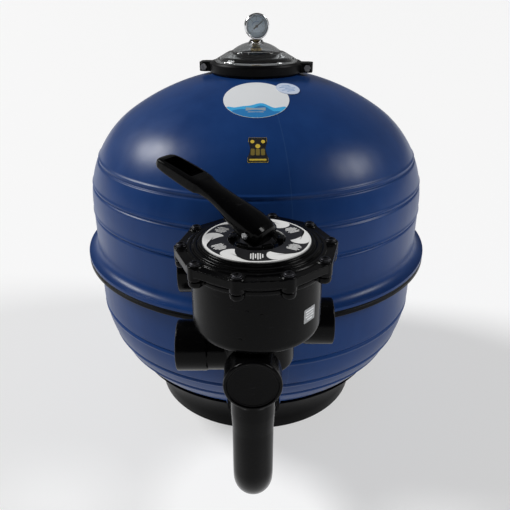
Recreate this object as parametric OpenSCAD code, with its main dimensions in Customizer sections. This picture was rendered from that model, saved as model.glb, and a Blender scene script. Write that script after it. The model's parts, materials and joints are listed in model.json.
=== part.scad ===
// Side-mount sand filter tank with a multiport valve, a clear lid and a pressure gauge.
// +Z is up, the floor is z = 0, the tank's axis is the Z axis and the valve is on the -Y side.

/* [Tank] */
// Outer radius of the tank wall
tank_r = 301.5; // [298:0.5:304]
// Wall thickness of both shells
wall = 6; // [5:0.5:7]
// Outer radius of the waist flange and band
waist_r = 320; // [316:1:326]
// Height of the joint between the two shells
waist_z = 315; // [312:1:318]
// Knuckle radius of the upper shell
knuckle_r = 180; // [176:1:184]
// Crown radius of the upper shell
crown_r = 395; // [390:1:400]
// Height where the upper wall starts to turn in
knuckle_z = 414; // [412:1:416]
// Knuckle radius of the lower shell
low_knuckle_r = 200; // [198:1:202]
// Crown radius of the closed bottom
low_crown_r = 496; // [490:1:500]
// Height where the lower wall starts to turn in
low_knuckle_z = 238; // [237:1:240]
// Outer radius of the foot where it stands
foot_r = 202; // [198:1:206]
// Height of the foot's rim
foot_h = 93; // [90:1:95]

/* [Lid] */
// Inner radius of the tank mouth
mouth_r = 60; // [56:1:61]
// Height of the seam between collar and lid
lid_z = 635; // [635:0.5:636]
// Outer radius of the clamp ring
clamp_r = 80; // [79:0.5:82]
// Turn of the clamp's split from the X axis
clamp_turn = -7; // [-20:1:20]
// Thickness of the clear lid
lid_wall = 4; // [3:0.5:4.5]

/* [Gauge] */
// Radius of the gauge bezel
gauge_r = 21; // [18:0.5:22]
// Height of the gauge's centre
gauge_z = 700; // [699:0.5:704]
// Turn of the gauge's face from straight ahead
gauge_turn = 12; // [-30:1:30]

/* [Valve] */
// Distance from the tank's axis to the valve's axis
valve_y = 426; // [426:1:432]
// Outer radius of the valve body
body_r = 79; // [78:0.5:80]
// Height of the underside of the body
body_z = 383; // [382:1:386]
// Height of the joint between body and cover
cover_z = 470; // [469:1:471]
// Radius of the circle of cover screws
screw_ring_r = 88; // [87:0.5:89]
// Number of cover screws
screw_count = 10; // [10]
// Turn of the cover's corners from the X axis
cover_turn = 4.4; // [0:0.1:10]
// Height of the three lower ports
port_z = 345; // [344:1:346]
// Radius of the sockets for 50 mm pipe
socket_r = 25.1; // [25.05:0.05:25.2]
// Depth of the pipe sockets
socket_depth = 30; // [25:1:32]

/* [Handle] */
// Length of the handle from its pin
handle_len = 155; // [140:1:160]
// Rise of the handle from level
handle_rise = 21; // [18:1:24]
// Direction of the handle, seen from above
handle_turn = 145; // [120:1:170]
// Height of the handle's pin
pin_z = 505; // [505:0.5:507]

/* [Pipes] */
// Outer radius of the front tube
loop_r = 25.7; // [25.3:0.1:25.8]
// Bend radius of the front tube
loop_bend = 45; // [40:1:50]
// Height of the lower tank connection
low_port_z = 155; // [154:1:157]
// Height of the upper tank connection
top_port_z = 405; // [404:1:406]
// Sideways offset of the front tube and the lower connection
tube_x = -4.5; // [-6:0.5:-1]
// Number of laterals on the collector hub
lateral_count = 8; // [6:1:10]

/* [Hidden] */
$fn = 96;

// Gap between glued, screwed or laid-in pieces, and the radial gap of turning pieces
fit_gap = 0.1;
running_gap = 0.05;
// Overshoot of every cutting solid
over = 1;
// Depth by which joined bodies sink into each other
lap = 4;
// Reach of wedges and half spaces that cut the shells
far = 700;

// Tank outline
upper_a = tank_r - knuckle_r;
upper_crown_z = knuckle_z - sqrt(pow(crown_r - knuckle_r, 2) - pow(upper_a, 2));
lower_a = tank_r - low_knuckle_r;
lower_crown_z = low_knuckle_z + sqrt(pow(low_crown_r - low_knuckle_r, 2) - pow(lower_a, 2));
lower_bottom_z = lower_crown_z - low_crown_r;
// Thickened spot at the centre of the bottom, where the shell was moulded shut
base_pad_r = 14;
base_pad_t = 1.5;
flange_t = 6;
cove_r = waist_r - tank_r;
groove_r = 3;
upper_grooves = [397, 446, 489];
lower_grooves = [138, 169, 222];
band_h = 12;
foot_in_r = foot_r - 17;
foot_cove_r = 88;
foot_flat_h = 20;

// Printed labels on the crown
label_r = 51;
label_tilt = 21;
label_t = 0.6;
small_label_r = 19;
small_label_tilt = 17.5;
small_label_turn = 25;

// Drain at the back of the lower shell
drain_z = 124;
drain_r = 16;
drain_in = 236;
drain_out = 288;
drain_boss_r = drain_r + 11;

// Collector at the bottom of the tank
hub_r = 42;
hub_wall = 12;
hub_floor = 4;
lateral_z = low_port_z - 36;
lateral_r = 12;
lateral_end = 240;

// Diffuser at the top of the tank
pipe_wall = 3;
diffuser_bend = 50;
diffuser_rise = 90;
head_foot_h = 12;
head_h = 30;
head_r = 46;

// Neck and clamp: a ridge with 45 degree flanks on both sides of the seam
ridge_r = mouth_r + 16;
ridge_in_r = ridge_r - 4.5;
ridge_half = 3;
neck_r = mouth_r + 10;
neck_low_z = 612;
neck_grip_h = 5;
clamp_gap = 0.6;
clamp_half_h = 9.5;
clamp_in_r = ridge_in_r + 0.9;
split_gap = 1;
ear_r = 99;
ear_half_w = 15;
ear_half_h = 8;
clamp_bolt_x = 90;
clamp_bolt_r = 3;
lip_cut = ridge_r / 2;

// Lid outline
dome_r = 66;
dome_z = 610;
dome_foot_r = 43;
lid_edge_z = lid_z + 12;
lid_seal_r = 66;
lid_boss_r = 11;
lid_boss_z = 678.9;
lid_boss_h = 13;
stem_r = 6.5;

// Gauge
gauge_half_t = 9;
gauge_stem_r = 2.9;
gauge_seal_t = 1.5;
gauge_hex_h = 4;
gauge_hex_z = lid_boss_z - lid_boss_h - gauge_seal_t - gauge_hex_h;

// Valve
body_in_r = 66;
seat_z = 430;
corner_r = 97;
lobe_r = 9;
insert_z = 463;
insert_r = 5.5;
// Height of the screw flange at the top of the body
flange_h = 9;
cover_top_z = cover_z + 16;
boss_z = cover_top_z + 2;
screw_r = 3.2;
plate_out_r = 63.5;
plate_in_r = 34;
plate_z = cover_top_z + 8;
plate_t = 2;
hub_z = cover_top_z + 4;
hub_in_r = 24;
cover_under_z = 478;
shaft_r = 11;
rotor_r = 62;
rotor_z = 433.5;
rotor_top_z = 447;
side_port_y = 368;
port_x = 101;
left_port_r = 32.5;
right_port_r = 32;
pump_port_r = 31;
pump_port_z = 425;
pump_port_end = 52;
port_bore_r = 20;
web_half = 6;
neck_pipe_r = 28.5;
neck_end_y = 488;
manifold_r = 48;
manifold_z = port_z - 18;

// Unions and tank connections, measured along -Y
pad_r = 44;
upper_pad_y = 308;
upper_pad_in = 290;
lower_pad_y = 304;
lower_pad_in = 249;
gasket_t = 3;
fitting_r = 30;
fitting_bore = 22;
fitting_flange_r = 42;
fitting_flange_t = 6;
fitting_out = 21;
union_seal_t = 2;
tail_flange_t = 4;
union_nut_r = 38;
union_nut_len = 20;
tail_r = 26;
upper_tail_y = upper_pad_y + fitting_out + union_seal_t;
lower_tail_y = lower_pad_y + fitting_out + union_seal_t;

// Front tube
tee_r = 34.6;
tee_front_y = 511;
tee_back_y = 475;
tube_top_z = port_z - 20;
tube_y = 484;
tube_wall = 4;
plug_r = 31;
plug_t = 14;
plug_recess = 1.5;
plug_back_y = tee_front_y - plug_recess - plug_t;

// Handle, in a frame with its pin at the origin and the lever along +X
cheek_in = shaft_r + 0.6;
slot_half = shaft_r + 0.4;
slot_side = shaft_r + 1;
slot_low = 20;
slot_swing = 14;
cheek_out = 22;
pin_r = 4;
pin_half = 24.5;
cap_r = 17;
cap_low = 12.5;

// ---------- shared shapes ----------

// A tube or rod along -Y from y = -from_y to y = -to_y at height z
module rod_y(r, from_y, to_y, z, x = 0) {
    translate([x, -from_y, z])
        rotate([90, 0, 0])
            cylinder(r = r, h = to_y - from_y);
}

// A rod along X from x0 to x1
module rod_x(r, x0, x1, y, z) {
    translate([x0, y, z])
        rotate([0, 90, 0])
            cylinder(r = r, h = x1 - x0);
}

// A flat ring between two radii
module ring(r_out, r_in, z0, z1) {
    translate([0, 0, z0])
        difference() {
            cylinder(r = r_out, h = z1 - z0);
            translate([0, 0, -over])
                cylinder(r = r_in, h = z1 - z0 + 2 * over);
        }
}

// A ring along -Y
module ring_y(r_out, r_in, from_y, to_y, z) {
    difference() {
        rod_y(r_out, from_y, to_y, z);
        rod_y(r_in, from_y - over, to_y + over, z);
    }
}

// A round seal
module seal_ring(r, section, z) {
    rotate_extrude()
        translate([r, z])
            circle(r = section, $fn = 32);
}

// Outline of the upper shell, moved inward by inset
module upper_outline(inset) {
    tangent = atan2(knuckle_z - upper_crown_z, upper_a);
    translate([0, waist_z])
        square([tank_r - inset, knuckle_z - waist_z]);
    intersection() {
        translate([upper_a, knuckle_z])
            circle(r = knuckle_r - inset);
        translate([0, waist_z])
            square(far);
    }
    intersection() {
        translate([0, upper_crown_z])
            circle(r = crown_r - inset);
        translate([0, upper_crown_z])
            polygon([[0, 0], [far * cos(tangent), far * sin(tangent)], [0, far]]);
    }
}

// Outline of the lower shell, moved inward by inset
module lower_outline(inset) {
    tangent = atan2(lower_crown_z - low_knuckle_z, lower_a);
    translate([0, low_knuckle_z])
        square([tank_r - inset, waist_z - low_knuckle_z]);
    intersection() {
        translate([lower_a, low_knuckle_z])
            circle(r = low_knuckle_r - inset);
        square([far, waist_z]);
    }
    intersection() {
        translate([0, lower_crown_z])
            circle(r = low_crown_r - inset);
        translate([0, lower_crown_z])
            polygon([[0, 0], [0, -far], [far * cos(tangent), -far * sin(tangent)]]);
    }
}

// Radius of the upper and lower shells at a height
function upper_radius(z) =
    z < knuckle_z ? tank_r : upper_a + sqrt(pow(knuckle_r, 2) - pow(z - knuckle_z, 2));
function lower_radius(z) =
    z > low_knuckle_z ? tank_r : lower_a + sqrt(pow(low_knuckle_r, 2) - pow(z - low_knuckle_z, 2));

// ---------- tank ----------

module upper_shell() {
    color([0.05, 0.15, 0.34])
    difference() {
        union() {
            rotate_extrude($fn = 180)
                difference() {
                    union() {
                        upper_outline(0);
                        translate([tank_r - wall, waist_z])
                            square([waist_r - tank_r + wall, flange_t]);
                        difference() {
                            translate([tank_r - wall, waist_z])
                                square([cove_r + wall, flange_t + cove_r]);
                            translate([waist_r, waist_z + flange_t + cove_r])
                                circle(r = cove_r);
                        }
                    }
                    upper_outline(wall);
                    translate([0, waist_z - over])
                        square([tank_r - wall, 2 * over]);
                    for (z = upper_grooves)
                        translate([upper_radius(z) + over, z])
                            circle(r = groove_r, $fn = 32);
                }
            rod_y(pad_r, upper_pad_in, upper_pad_y, top_port_z);
        }
        rod_y(fitting_r + fit_gap, upper_pad_in - 10, upper_pad_y + over, top_port_z);
        translate([0, 0, neck_low_z - 20])
            cylinder(r = neck_r + fit_gap, h = 60);
    }
}

module lower_shell() {
    color([0.05, 0.15, 0.34])
    difference() {
        union() {
            rotate_extrude($fn = 180)
                difference() {
                    union() {
                        lower_outline(0);
                        translate([0, lower_bottom_z - base_pad_t])
                            square([base_pad_r, wall]);
                    }
                    difference() {
                        lower_outline(wall);
                        square([base_pad_r, lower_bottom_z + wall + base_pad_t]);
                    }
                    translate([0, waist_z - over])
                        square([tank_r - wall, 2 * over]);
                    for (z = lower_grooves)
                        translate([lower_radius(z) + over, z])
                            circle(r = groove_r, $fn = 32);
                }
            rod_y(pad_r, lower_pad_in, lower_pad_y, low_port_z, tube_x);
            drain_rod(drain_boss_r, drain_in, drain_out);
        }
        rod_y(fitting_r + fit_gap, lower_pad_in - 10, lower_pad_y + over, low_port_z, tube_x);
        drain_rod(drain_r + fit_gap, drain_in - 20, drain_out + over);
    }
}

module waist_band() {
    color([0.04, 0.04, 0.05])
        ring(waist_r, tank_r + fit_gap, waist_z - band_h, waist_z);
}

module foot_ring() {
    color([0.04, 0.04, 0.05])
    rotate_extrude($fn = 180)
        difference() {
            translate([foot_in_r, 0])
                square([tank_r - foot_in_r - 56, foot_h]);
            translate([foot_r + foot_cove_r, foot_flat_h])
                circle(r = foot_cove_r);
            translate([foot_r, -over])
                square([far, foot_flat_h + over]);
            lower_outline(0);
        }
}

module neck_collar() {
    seal_half = 2.2;
    seal_depth = 4;
    flank = ridge_r - ridge_in_r;
    color([0.04, 0.04, 0.05])
    rotate_extrude()
        polygon([
            [mouth_r, neck_low_z], [neck_r + 6, neck_low_z],
            [neck_r + 6, neck_low_z + neck_grip_h], [neck_r, neck_low_z + neck_grip_h],
            [neck_r, lid_z - ridge_half - flank], [ridge_in_r, lid_z - ridge_half - flank],
            [ridge_r, lid_z - ridge_half], [ridge_r, lid_z],
            [lid_seal_r + seal_half, lid_z], [lid_seal_r + seal_half, lid_z - seal_depth],
            [lid_seal_r - seal_half, lid_z - seal_depth], [lid_seal_r - seal_half, lid_z],
            [mouth_r, lid_z]
        ]);
}

// A thin round patch on the crown, tilted forward and turned to the side
module crown_patch(r, tilt, turn, low, high) {
    translate([0, 0, upper_crown_z])
        rotate([0, 0, turn])
            rotate([tilt, 0, 0])
                intersection() {
                    difference() {
                        sphere(r = crown_r + high, $fn = 180);
                        sphere(r = crown_r + low, $fn = 180);
                    }
                    translate([0, 0, crown_r - 20])
                        cylinder(r = r, h = 40);
                }
}

module name_label() {
    color([0.92, 0.93, 0.94])
        crown_patch(label_r, label_tilt, 0, running_gap, label_t);
}

module small_label() {
    color([0.8, 0.86, 0.95])
        crown_patch(small_label_r, small_label_tilt, small_label_turn, label_t + running_gap, 2 * label_t);
}

module square_label() {
    mid_z = 550;
    mid_r = upper_radius(mid_z);
    slope = atan2(mid_r - upper_a, mid_z - knuckle_z);
    color([0.85, 0.68, 0.12])
    intersection() {
        rotate_extrude($fn = 180)
            difference() {
                upper_outline(-label_t);
                upper_outline(-running_gap);
            }
        translate([2, -mid_r, mid_z])
            rotate([slope, 0, 0])
                cube([28, 42, 16], center = true);
    }
}

// ---------- drain ----------

module drain_rod(r, from_y, to_y) {
    translate([0, from_y, drain_z])
        rotate([-90, 0, 0])
            cylinder(r = r, h = to_y - from_y);
}

module drain_spigot() {
    color([0.05, 0.05, 0.06])
    difference() {
        union() {
            drain_rod(drain_r, drain_in - 8, drain_out + 18);
            drain_rod(drain_r + 8, drain_out + 2, drain_out + 6);
        }
        drain_rod(drain_r - 5, drain_in - 10, drain_out + 19);
    }
}

module drain_seal() {
    color([0.1, 0.1, 0.1])
    difference() {
        drain_rod(drain_r + 6, drain_out, drain_out + 2);
        drain_rod(drain_r + fit_gap, drain_out - over, drain_out + 3);
    }
}

module drain_cap() {
    grip_count = 12;
    color([0.05, 0.05, 0.06])
    difference() {
        drain_rod(drain_r + 7, drain_out + 7, drain_out + 24);
        drain_rod(drain_r + fit_gap, drain_out + 6, drain_out + 19);
        for (i = [0 : grip_count - 1])
            translate([0, 0, drain_z])
                rotate([0, i * 360 / grip_count, 0])
                    translate([drain_r + 8.5, 0, -drain_z])
                        drain_rod(2.5, drain_out + 6, drain_out + 25);
    }
}

// ---------- lid and clamp ----------

// Solid outline of the lid, moved inward by inset
module lid_outline(inset) {
    intersection() {
        translate([0, dome_z])
            circle(r = dome_r - inset);
        translate([0, lid_z])
            square([dome_foot_r, 60]);
    }
    polygon([
        [0, lid_z], [ridge_in_r - inset, lid_z], [ridge_in_r - inset, lid_edge_z - inset],
        [dome_foot_r, dome_z + sqrt(pow(dome_r - inset, 2) - pow(dome_foot_r, 2))],
        [0, dome_z + sqrt(pow(dome_r - inset, 2) - pow(dome_foot_r, 2))]
    ]);
}

module lid_dome() {
    color([0.8, 0.85, 0.88, 0.4])
    difference() {
        union() {
            rotate_extrude()
                difference() {
                    union() {
                        lid_outline(0);
                        polygon([
                            [0, lid_z], [ridge_r, lid_z], [ridge_r, lid_z + ridge_half],
                            [ridge_in_r, lid_z + ridge_half + (ridge_r - ridge_in_r)],
                            [0, lid_z + ridge_half + (ridge_r - ridge_in_r)]
                        ]);
                    }
                    intersection() {
                        lid_outline(lid_wall);
                        translate([-over, lid_z - over])
                            square([mouth_r + 2 + over, 80]);
                    }
                    translate([-over, lid_z - over])
                        square([mouth_r + 2 + over, 2 * over]);
                }
            translate([0, 0, lid_boss_z - lid_boss_h])
                cylinder(r = lid_boss_r, h = lid_boss_h);
        }
        translate([0, 0, lid_z])
            cylinder(r = stem_r + fit_gap, h = 60);
    }
}

module lid_oring() {
    color([0.1, 0.1, 0.1])
        seal_ring(lid_seal_r, 1.8, lid_z - 2.2);
}

// One half of the clamp ring on the +Y side of the split
module clamp_half(hole_r) {
    difference() {
        union() {
            rotate_extrude()
                difference() {
                    translate([clamp_in_r, lid_z - clamp_half_h])
                        square([clamp_r - clamp_in_r, 2 * clamp_half_h]);
                    polygon([
                        [ridge_r + clamp_gap, lid_z - ridge_half - clamp_gap],
                        [ridge_r + clamp_gap, lid_z + ridge_half + clamp_gap],
                        [neck_r, lid_z + ridge_half + ridge_r - neck_r + 2 * clamp_gap],
                        [neck_r, lid_z - ridge_half - ridge_r + neck_r - 2 * clamp_gap]
                    ]);
                }
            for (side = [-1, 1])
                translate([side * (ear_r + clamp_r - 4) / 2, 0, lid_z])
                    cube([ear_r - clamp_r + 4, 2 * ear_half_w, 2 * ear_half_h], center = true);
        }
        translate([-far, -far + split_gap, 0])
            cube([2 * far, far, 2 * far]);
        translate([0, 0, lid_z - 20])
            intersection() {
                cylinder(r = ridge_r + clamp_gap, h = 40);
                translate([-far, -lip_cut, 0])
                    cube([2 * far, 2 * lip_cut, 40]);
            }
        for (side = [-1, 1])
            translate([side * clamp_bolt_x, -far, lid_z])
                rotate([-90, 0, 0])
                    cylinder(r = hole_r, h = 2 * far);
    }
}

module clamp_back() {
    color([0.07, 0.07, 0.08])
        rotate([0, 0, clamp_turn])
            clamp_half(clamp_bolt_r + 0.4);
}

module clamp_front() {
    color([0.07, 0.07, 0.08])
        rotate([0, 0, clamp_turn + 180])
            clamp_half(clamp_bolt_r + fit_gap);
}

module clamp_bolts() {
    head_r = 5.8;
    color([0.75, 0.76, 0.78])
    rotate([0, 0, clamp_turn])
        for (side = [-1, 1])
            translate([side * clamp_bolt_x, 0, lid_z])
                rotate([90, 0, 0]) {
                    translate([0, 0, -ear_half_w - 9])
                        cylinder(r = clamp_bolt_r, h = 2 * ear_half_w + 9);
                    translate([0, 0, ear_half_w])
                        cylinder(r = head_r, h = 4, $fn = 6);
                }
}

module clamp_nuts() {
    nut_r = 6.4;
    color([0.75, 0.76, 0.78])
    rotate([0, 0, clamp_turn])
        for (side = [-1, 1])
            translate([side * clamp_bolt_x, ear_half_w + 0.2, lid_z])
                rotate([-90, 0, 0])
                    difference() {
                        cylinder(r = nut_r, h = 6, $fn = 6);
                        translate([0, 0, -over])
                            cylinder(r = clamp_bolt_r + 0.3, h = 8);
                    }
}

// ---------- gauge ----------

// Places a child that lies along +Z at the gauge's centre, facing forward
module at_gauge() {
    translate([0, 0, gauge_z])
        rotate([0, 0, gauge_turn])
            rotate([90, 0, 0])
                children();
}

module gauge_seal() {
    seal_z = gauge_hex_z + gauge_hex_h;
    color([0.1, 0.1, 0.1])
        ring(8, stem_r + fit_gap, seal_z, seal_z + gauge_seal_t);
}

// The bushing is screwed in from inside the lid, with its hexagon under the boss
module gauge_bushing() {
    color([0.72, 0.73, 0.75])
    difference() {
        union() {
            translate([0, 0, gauge_hex_z])
                cylinder(r = 9, h = gauge_hex_h, $fn = 6);
            translate([0, 0, gauge_hex_z + over])
                cylinder(r = stem_r, h = lid_boss_z - gauge_hex_z - over);
        }
        translate([0, 0, gauge_hex_z - over])
            cylinder(r = gauge_stem_r + fit_gap, h = 40);
    }
}

module gauge_case() {
    case_r = gauge_r - 1;
    color([0.7, 0.71, 0.73])
    difference() {
        union() {
            at_gauge()
                translate([0, 0, -gauge_half_t])
                    cylinder(r = case_r, h = 2 * gauge_half_t - 3);
            translate([0, 0, gauge_hex_z + 2])
                cylinder(r = gauge_stem_r, h = gauge_z - case_r - gauge_hex_z - 1);
        }
        at_gauge()
            translate([0, 0, -gauge_half_t + 2])
                cylinder(r = case_r - 1.5, h = 20);
        translate([0, 0, gauge_hex_z])
            cylinder(r = gauge_stem_r - 1.1, h = 40);
    }
}

module gauge_bezel() {
    color([0.8, 0.81, 0.83])
    at_gauge()
        difference() {
            translate([0, 0, gauge_half_t - 6])
                cylinder(r = gauge_r, h = 6);
            translate([0, 0, gauge_half_t - 7])
                cylinder(r = gauge_r - 1 + running_gap, h = 4);
            translate([0, 0, gauge_half_t - 8])
                cylinder(r = gauge_r - 3, h = 10);
        }
}

module gauge_dial() {
    color([0.86, 0.92, 0.97])
    at_gauge()
        difference() {
            translate([0, 0, gauge_half_t - 7.5])
                cylinder(r = gauge_r - 2.6, h = 1);
            translate([0, 0, -gauge_half_t])
                cylinder(r = 1.2, h = 30);
        }
}

module gauge_needle() {
    needle_turn = 38;
    color([0.05, 0.05, 0.05])
    at_gauge()
        rotate([0, 0, needle_turn]) {
            translate([0, 0, gauge_half_t - 9])
                cylinder(r = 1.1, h = 4.5);
            translate([0, 0, gauge_half_t - 5.5])
                cylinder(r = 2.2, h = 1);
            translate([0, 0, gauge_half_t - 5.3])
                linear_extrude(0.6)
                    polygon([[-6, -1], [-6, 1], [14.5, 0.3], [14.5, -0.3]]);
        }
}

module gauge_lens() {
    color([0.9, 0.95, 0.98, 0.3])
    at_gauge()
        translate([0, 0, gauge_half_t - 3])
            difference() {
                cylinder(r = gauge_r - 3 - running_gap, h = 2);
                translate([0, 0, -over])
                    cylinder(r = 2, h = 1.5);
            }
}

// ---------- inside the tank ----------

module diffuser_pipe() {
    r = fitting_bore - fit_gap;
    color([0.85, 0.86, 0.86])
    difference() {
        union() {
            rod_y(r, diffuser_bend, upper_pad_in + 10, top_port_z);
            pipe_bend(r, diffuser_bend, top_port_z);
            translate([0, 0, top_port_z + diffuser_bend])
                cylinder(r = r, h = diffuser_rise);
        }
        rod_y(r - pipe_wall, diffuser_bend, upper_pad_in + 12, top_port_z);
        pipe_bend(r - pipe_wall, diffuser_bend, top_port_z);
        translate([0, 0, top_port_z + diffuser_bend])
            cylinder(r = r - pipe_wall, h = diffuser_rise + over);
    }
}

// A quarter bend from a level pipe along -Y to an upright pipe on the Z axis
module pipe_bend(r, bend, z) {
    translate([0, -bend, z + bend])
        rotate([0, 90, 0])
            rotate_extrude(angle = 90)
                translate([bend, 0])
                    circle(r = r);
}

module diffuser_head() {
    head_z = top_port_z + diffuser_bend + diffuser_rise - head_foot_h;
    chamber_z = head_z + head_foot_h;
    slot_count = 12;
    slot_w = 6;
    slot_h = 18;
    color([0.85, 0.86, 0.86])
    difference() {
        union() {
            translate([0, 0, head_z])
                cylinder(r = fitting_bore + 6, h = head_foot_h);
            translate([0, 0, chamber_z])
                cylinder(r = head_r, h = head_h);
        }
        translate([0, 0, head_z - over])
            cylinder(r = fitting_bore, h = head_foot_h + over);
        translate([0, 0, chamber_z - over])
            cylinder(r = fitting_bore - 4, h = 5);
        translate([0, 0, chamber_z + pipe_wall])
            cylinder(r = head_r - 4, h = head_h - 2 * pipe_wall);
        for (i = [0 : slot_count - 1])
            rotate([0, 0, i * 360 / slot_count])
                translate([head_r - 8, -slot_w / 2, chamber_z + 6])
                    cube([12, slot_w, slot_h]);
    }
}

module collector_pipe() {
    r = fitting_bore - fit_gap;
    color([0.85, 0.86, 0.86])
        translate([tube_x, 0, 0])
            ring_y(r, r - pipe_wall, hub_r - hub_wall, lower_pad_in + 10, low_port_z);
}

module collector_hub() {
    bottom_z = lateral_z - lateral_r - 6;
    hub_h = low_port_z - bottom_z + fitting_bore + 2;
    bore_start = 20;
    color([0.85, 0.86, 0.86])
    difference() {
        translate([0, 0, bottom_z])
            cylinder(r = hub_r, h = hub_h);
        translate([0, 0, bottom_z + hub_floor])
            cylinder(r = hub_r - hub_wall, h = hub_h - 2 * hub_floor);
        rod_y(fitting_bore, bore_start, hub_r + over, low_port_z, tube_x);
        for (i = [0 : lateral_count - 1])
            rotate([0, 0, (i + 0.5) * 360 / lateral_count])
                rod_y(lateral_r - 2 + fit_gap, bore_start, hub_r + over, lateral_z);
    }
}

module laterals() {
    rib_count = 16;
    rib = (lateral_end - hub_r) / rib_count;
    outline = concat(
        [[0, hub_r - 10], [lateral_r - 2, hub_r - 10], [lateral_r - 2, hub_r + 0.2]],
        [for (i = [0 : rib_count - 1]) each [
            [lateral_r, hub_r + 0.2 + i * rib], [lateral_r, hub_r + (i + 0.7) * rib],
            [lateral_r - 1, hub_r + (i + 0.7) * rib], [lateral_r - 1, hub_r + 0.2 + (i + 1) * rib]
        ]],
        [[0, hub_r + 0.2 + rib_count * rib]]
    );
    color([0.88, 0.88, 0.86])
    for (i = [0 : lateral_count - 1])
        rotate([0, 0, (i + 0.5) * 360 / lateral_count])
            translate([0, 0, lateral_z])
                rotate([90, 0, 0])
                    rotate_extrude($fn = 48)
                        polygon(outline);
}

// ---------- tank connections ----------

module bulkhead(pad_in, pad_out, z) {
    inner = pad_in - 18;
    color([0.05, 0.05, 0.06])
    difference() {
        union() {
            rod_y(fitting_r, inner, pad_out + fitting_out, z);
            rod_y(fitting_flange_r, pad_out + gasket_t, pad_out + gasket_t + fitting_flange_t, z);
        }
        rod_y(fitting_bore, inner - over, pad_out + fitting_out + over, z);
    }
}

module bulkhead_gasket(pad_out, z) {
    color([0.1, 0.1, 0.1])
        ring_y(fitting_flange_r - 1, fitting_r + fit_gap, pad_out, pad_out + gasket_t, z);
}

module bulkhead_locknut(pad_in, z) {
    color([0.05, 0.05, 0.06])
        ring_y(fitting_flange_r, fitting_r + fit_gap, pad_in - 12, pad_in, z);
}

module union_nut(pad_out, z, pipe_r) {
    grip_count = 12;
    start = pad_out + gasket_t + fitting_flange_t + over;
    lip = pad_out + fitting_out + union_seal_t + tail_flange_t;
    color([0.05, 0.05, 0.06])
    difference() {
        rod_y(union_nut_r, start, start + union_nut_len, z);
        rod_y(fitting_r + fit_gap, start - over, lip, z);
        rod_y(pipe_r + fit_gap, start - over, start + union_nut_len + over, z);
        for (i = [0 : grip_count - 1])
            translate([0, 0, z])
                rotate([0, i * 360 / grip_count, 0])
                    rod_y(3, start - over, start + union_nut_len + over, union_nut_r + 1);
    }
}

module union_seal(pad_out, z) {
    color([0.1, 0.1, 0.1])
        ring_y(fitting_r - 1, fitting_bore, pad_out + fitting_out, pad_out + fitting_out + union_seal_t, z);
}

module upper_bulkhead() {
    bulkhead(upper_pad_in, upper_pad_y, top_port_z);
}

module upper_gasket() {
    bulkhead_gasket(upper_pad_y, top_port_z);
}

module upper_locknut() {
    bulkhead_locknut(upper_pad_in, top_port_z);
}

module upper_union_nut() {
    union_nut(upper_pad_y, top_port_z, tail_r);
}

module upper_union_seal() {
    union_seal(upper_pad_y, top_port_z);
}

module lower_bulkhead() {
    translate([tube_x, 0, 0])
        bulkhead(lower_pad_in, lower_pad_y, low_port_z);
}

module lower_gasket() {
    translate([tube_x, 0, 0])
        bulkhead_gasket(lower_pad_y, low_port_z);
}

module lower_locknut() {
    translate([tube_x, 0, 0])
        bulkhead_locknut(lower_pad_in, low_port_z);
}

module lower_union_nut() {
    translate([tube_x, 0, 0])
        union_nut(lower_pad_y, low_port_z, loop_r);
}

module lower_union_seal() {
    translate([tube_x, 0, 0])
        union_seal(lower_pad_y, low_port_z);
}

// ---------- multiport valve ----------

// Repeats a child at each cover screw
module at_screws() {
    for (i = [0 : screw_count - 1])
        translate([0, -valve_y, 0])
            rotate([0, 0, cover_turn + i * 360 / screw_count])
                translate([screw_ring_r, 0, 0])
                    children();
}

// The ten-sided flange where the cover is bolted down, with a lobe at each screw
module screw_flange(edge) {
    translate([0, -valve_y])
        rotate(cover_turn)
            circle(r = corner_r - edge, $fn = screw_count);
    at_screws()
        circle(r = lobe_r - edge);
}

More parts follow.
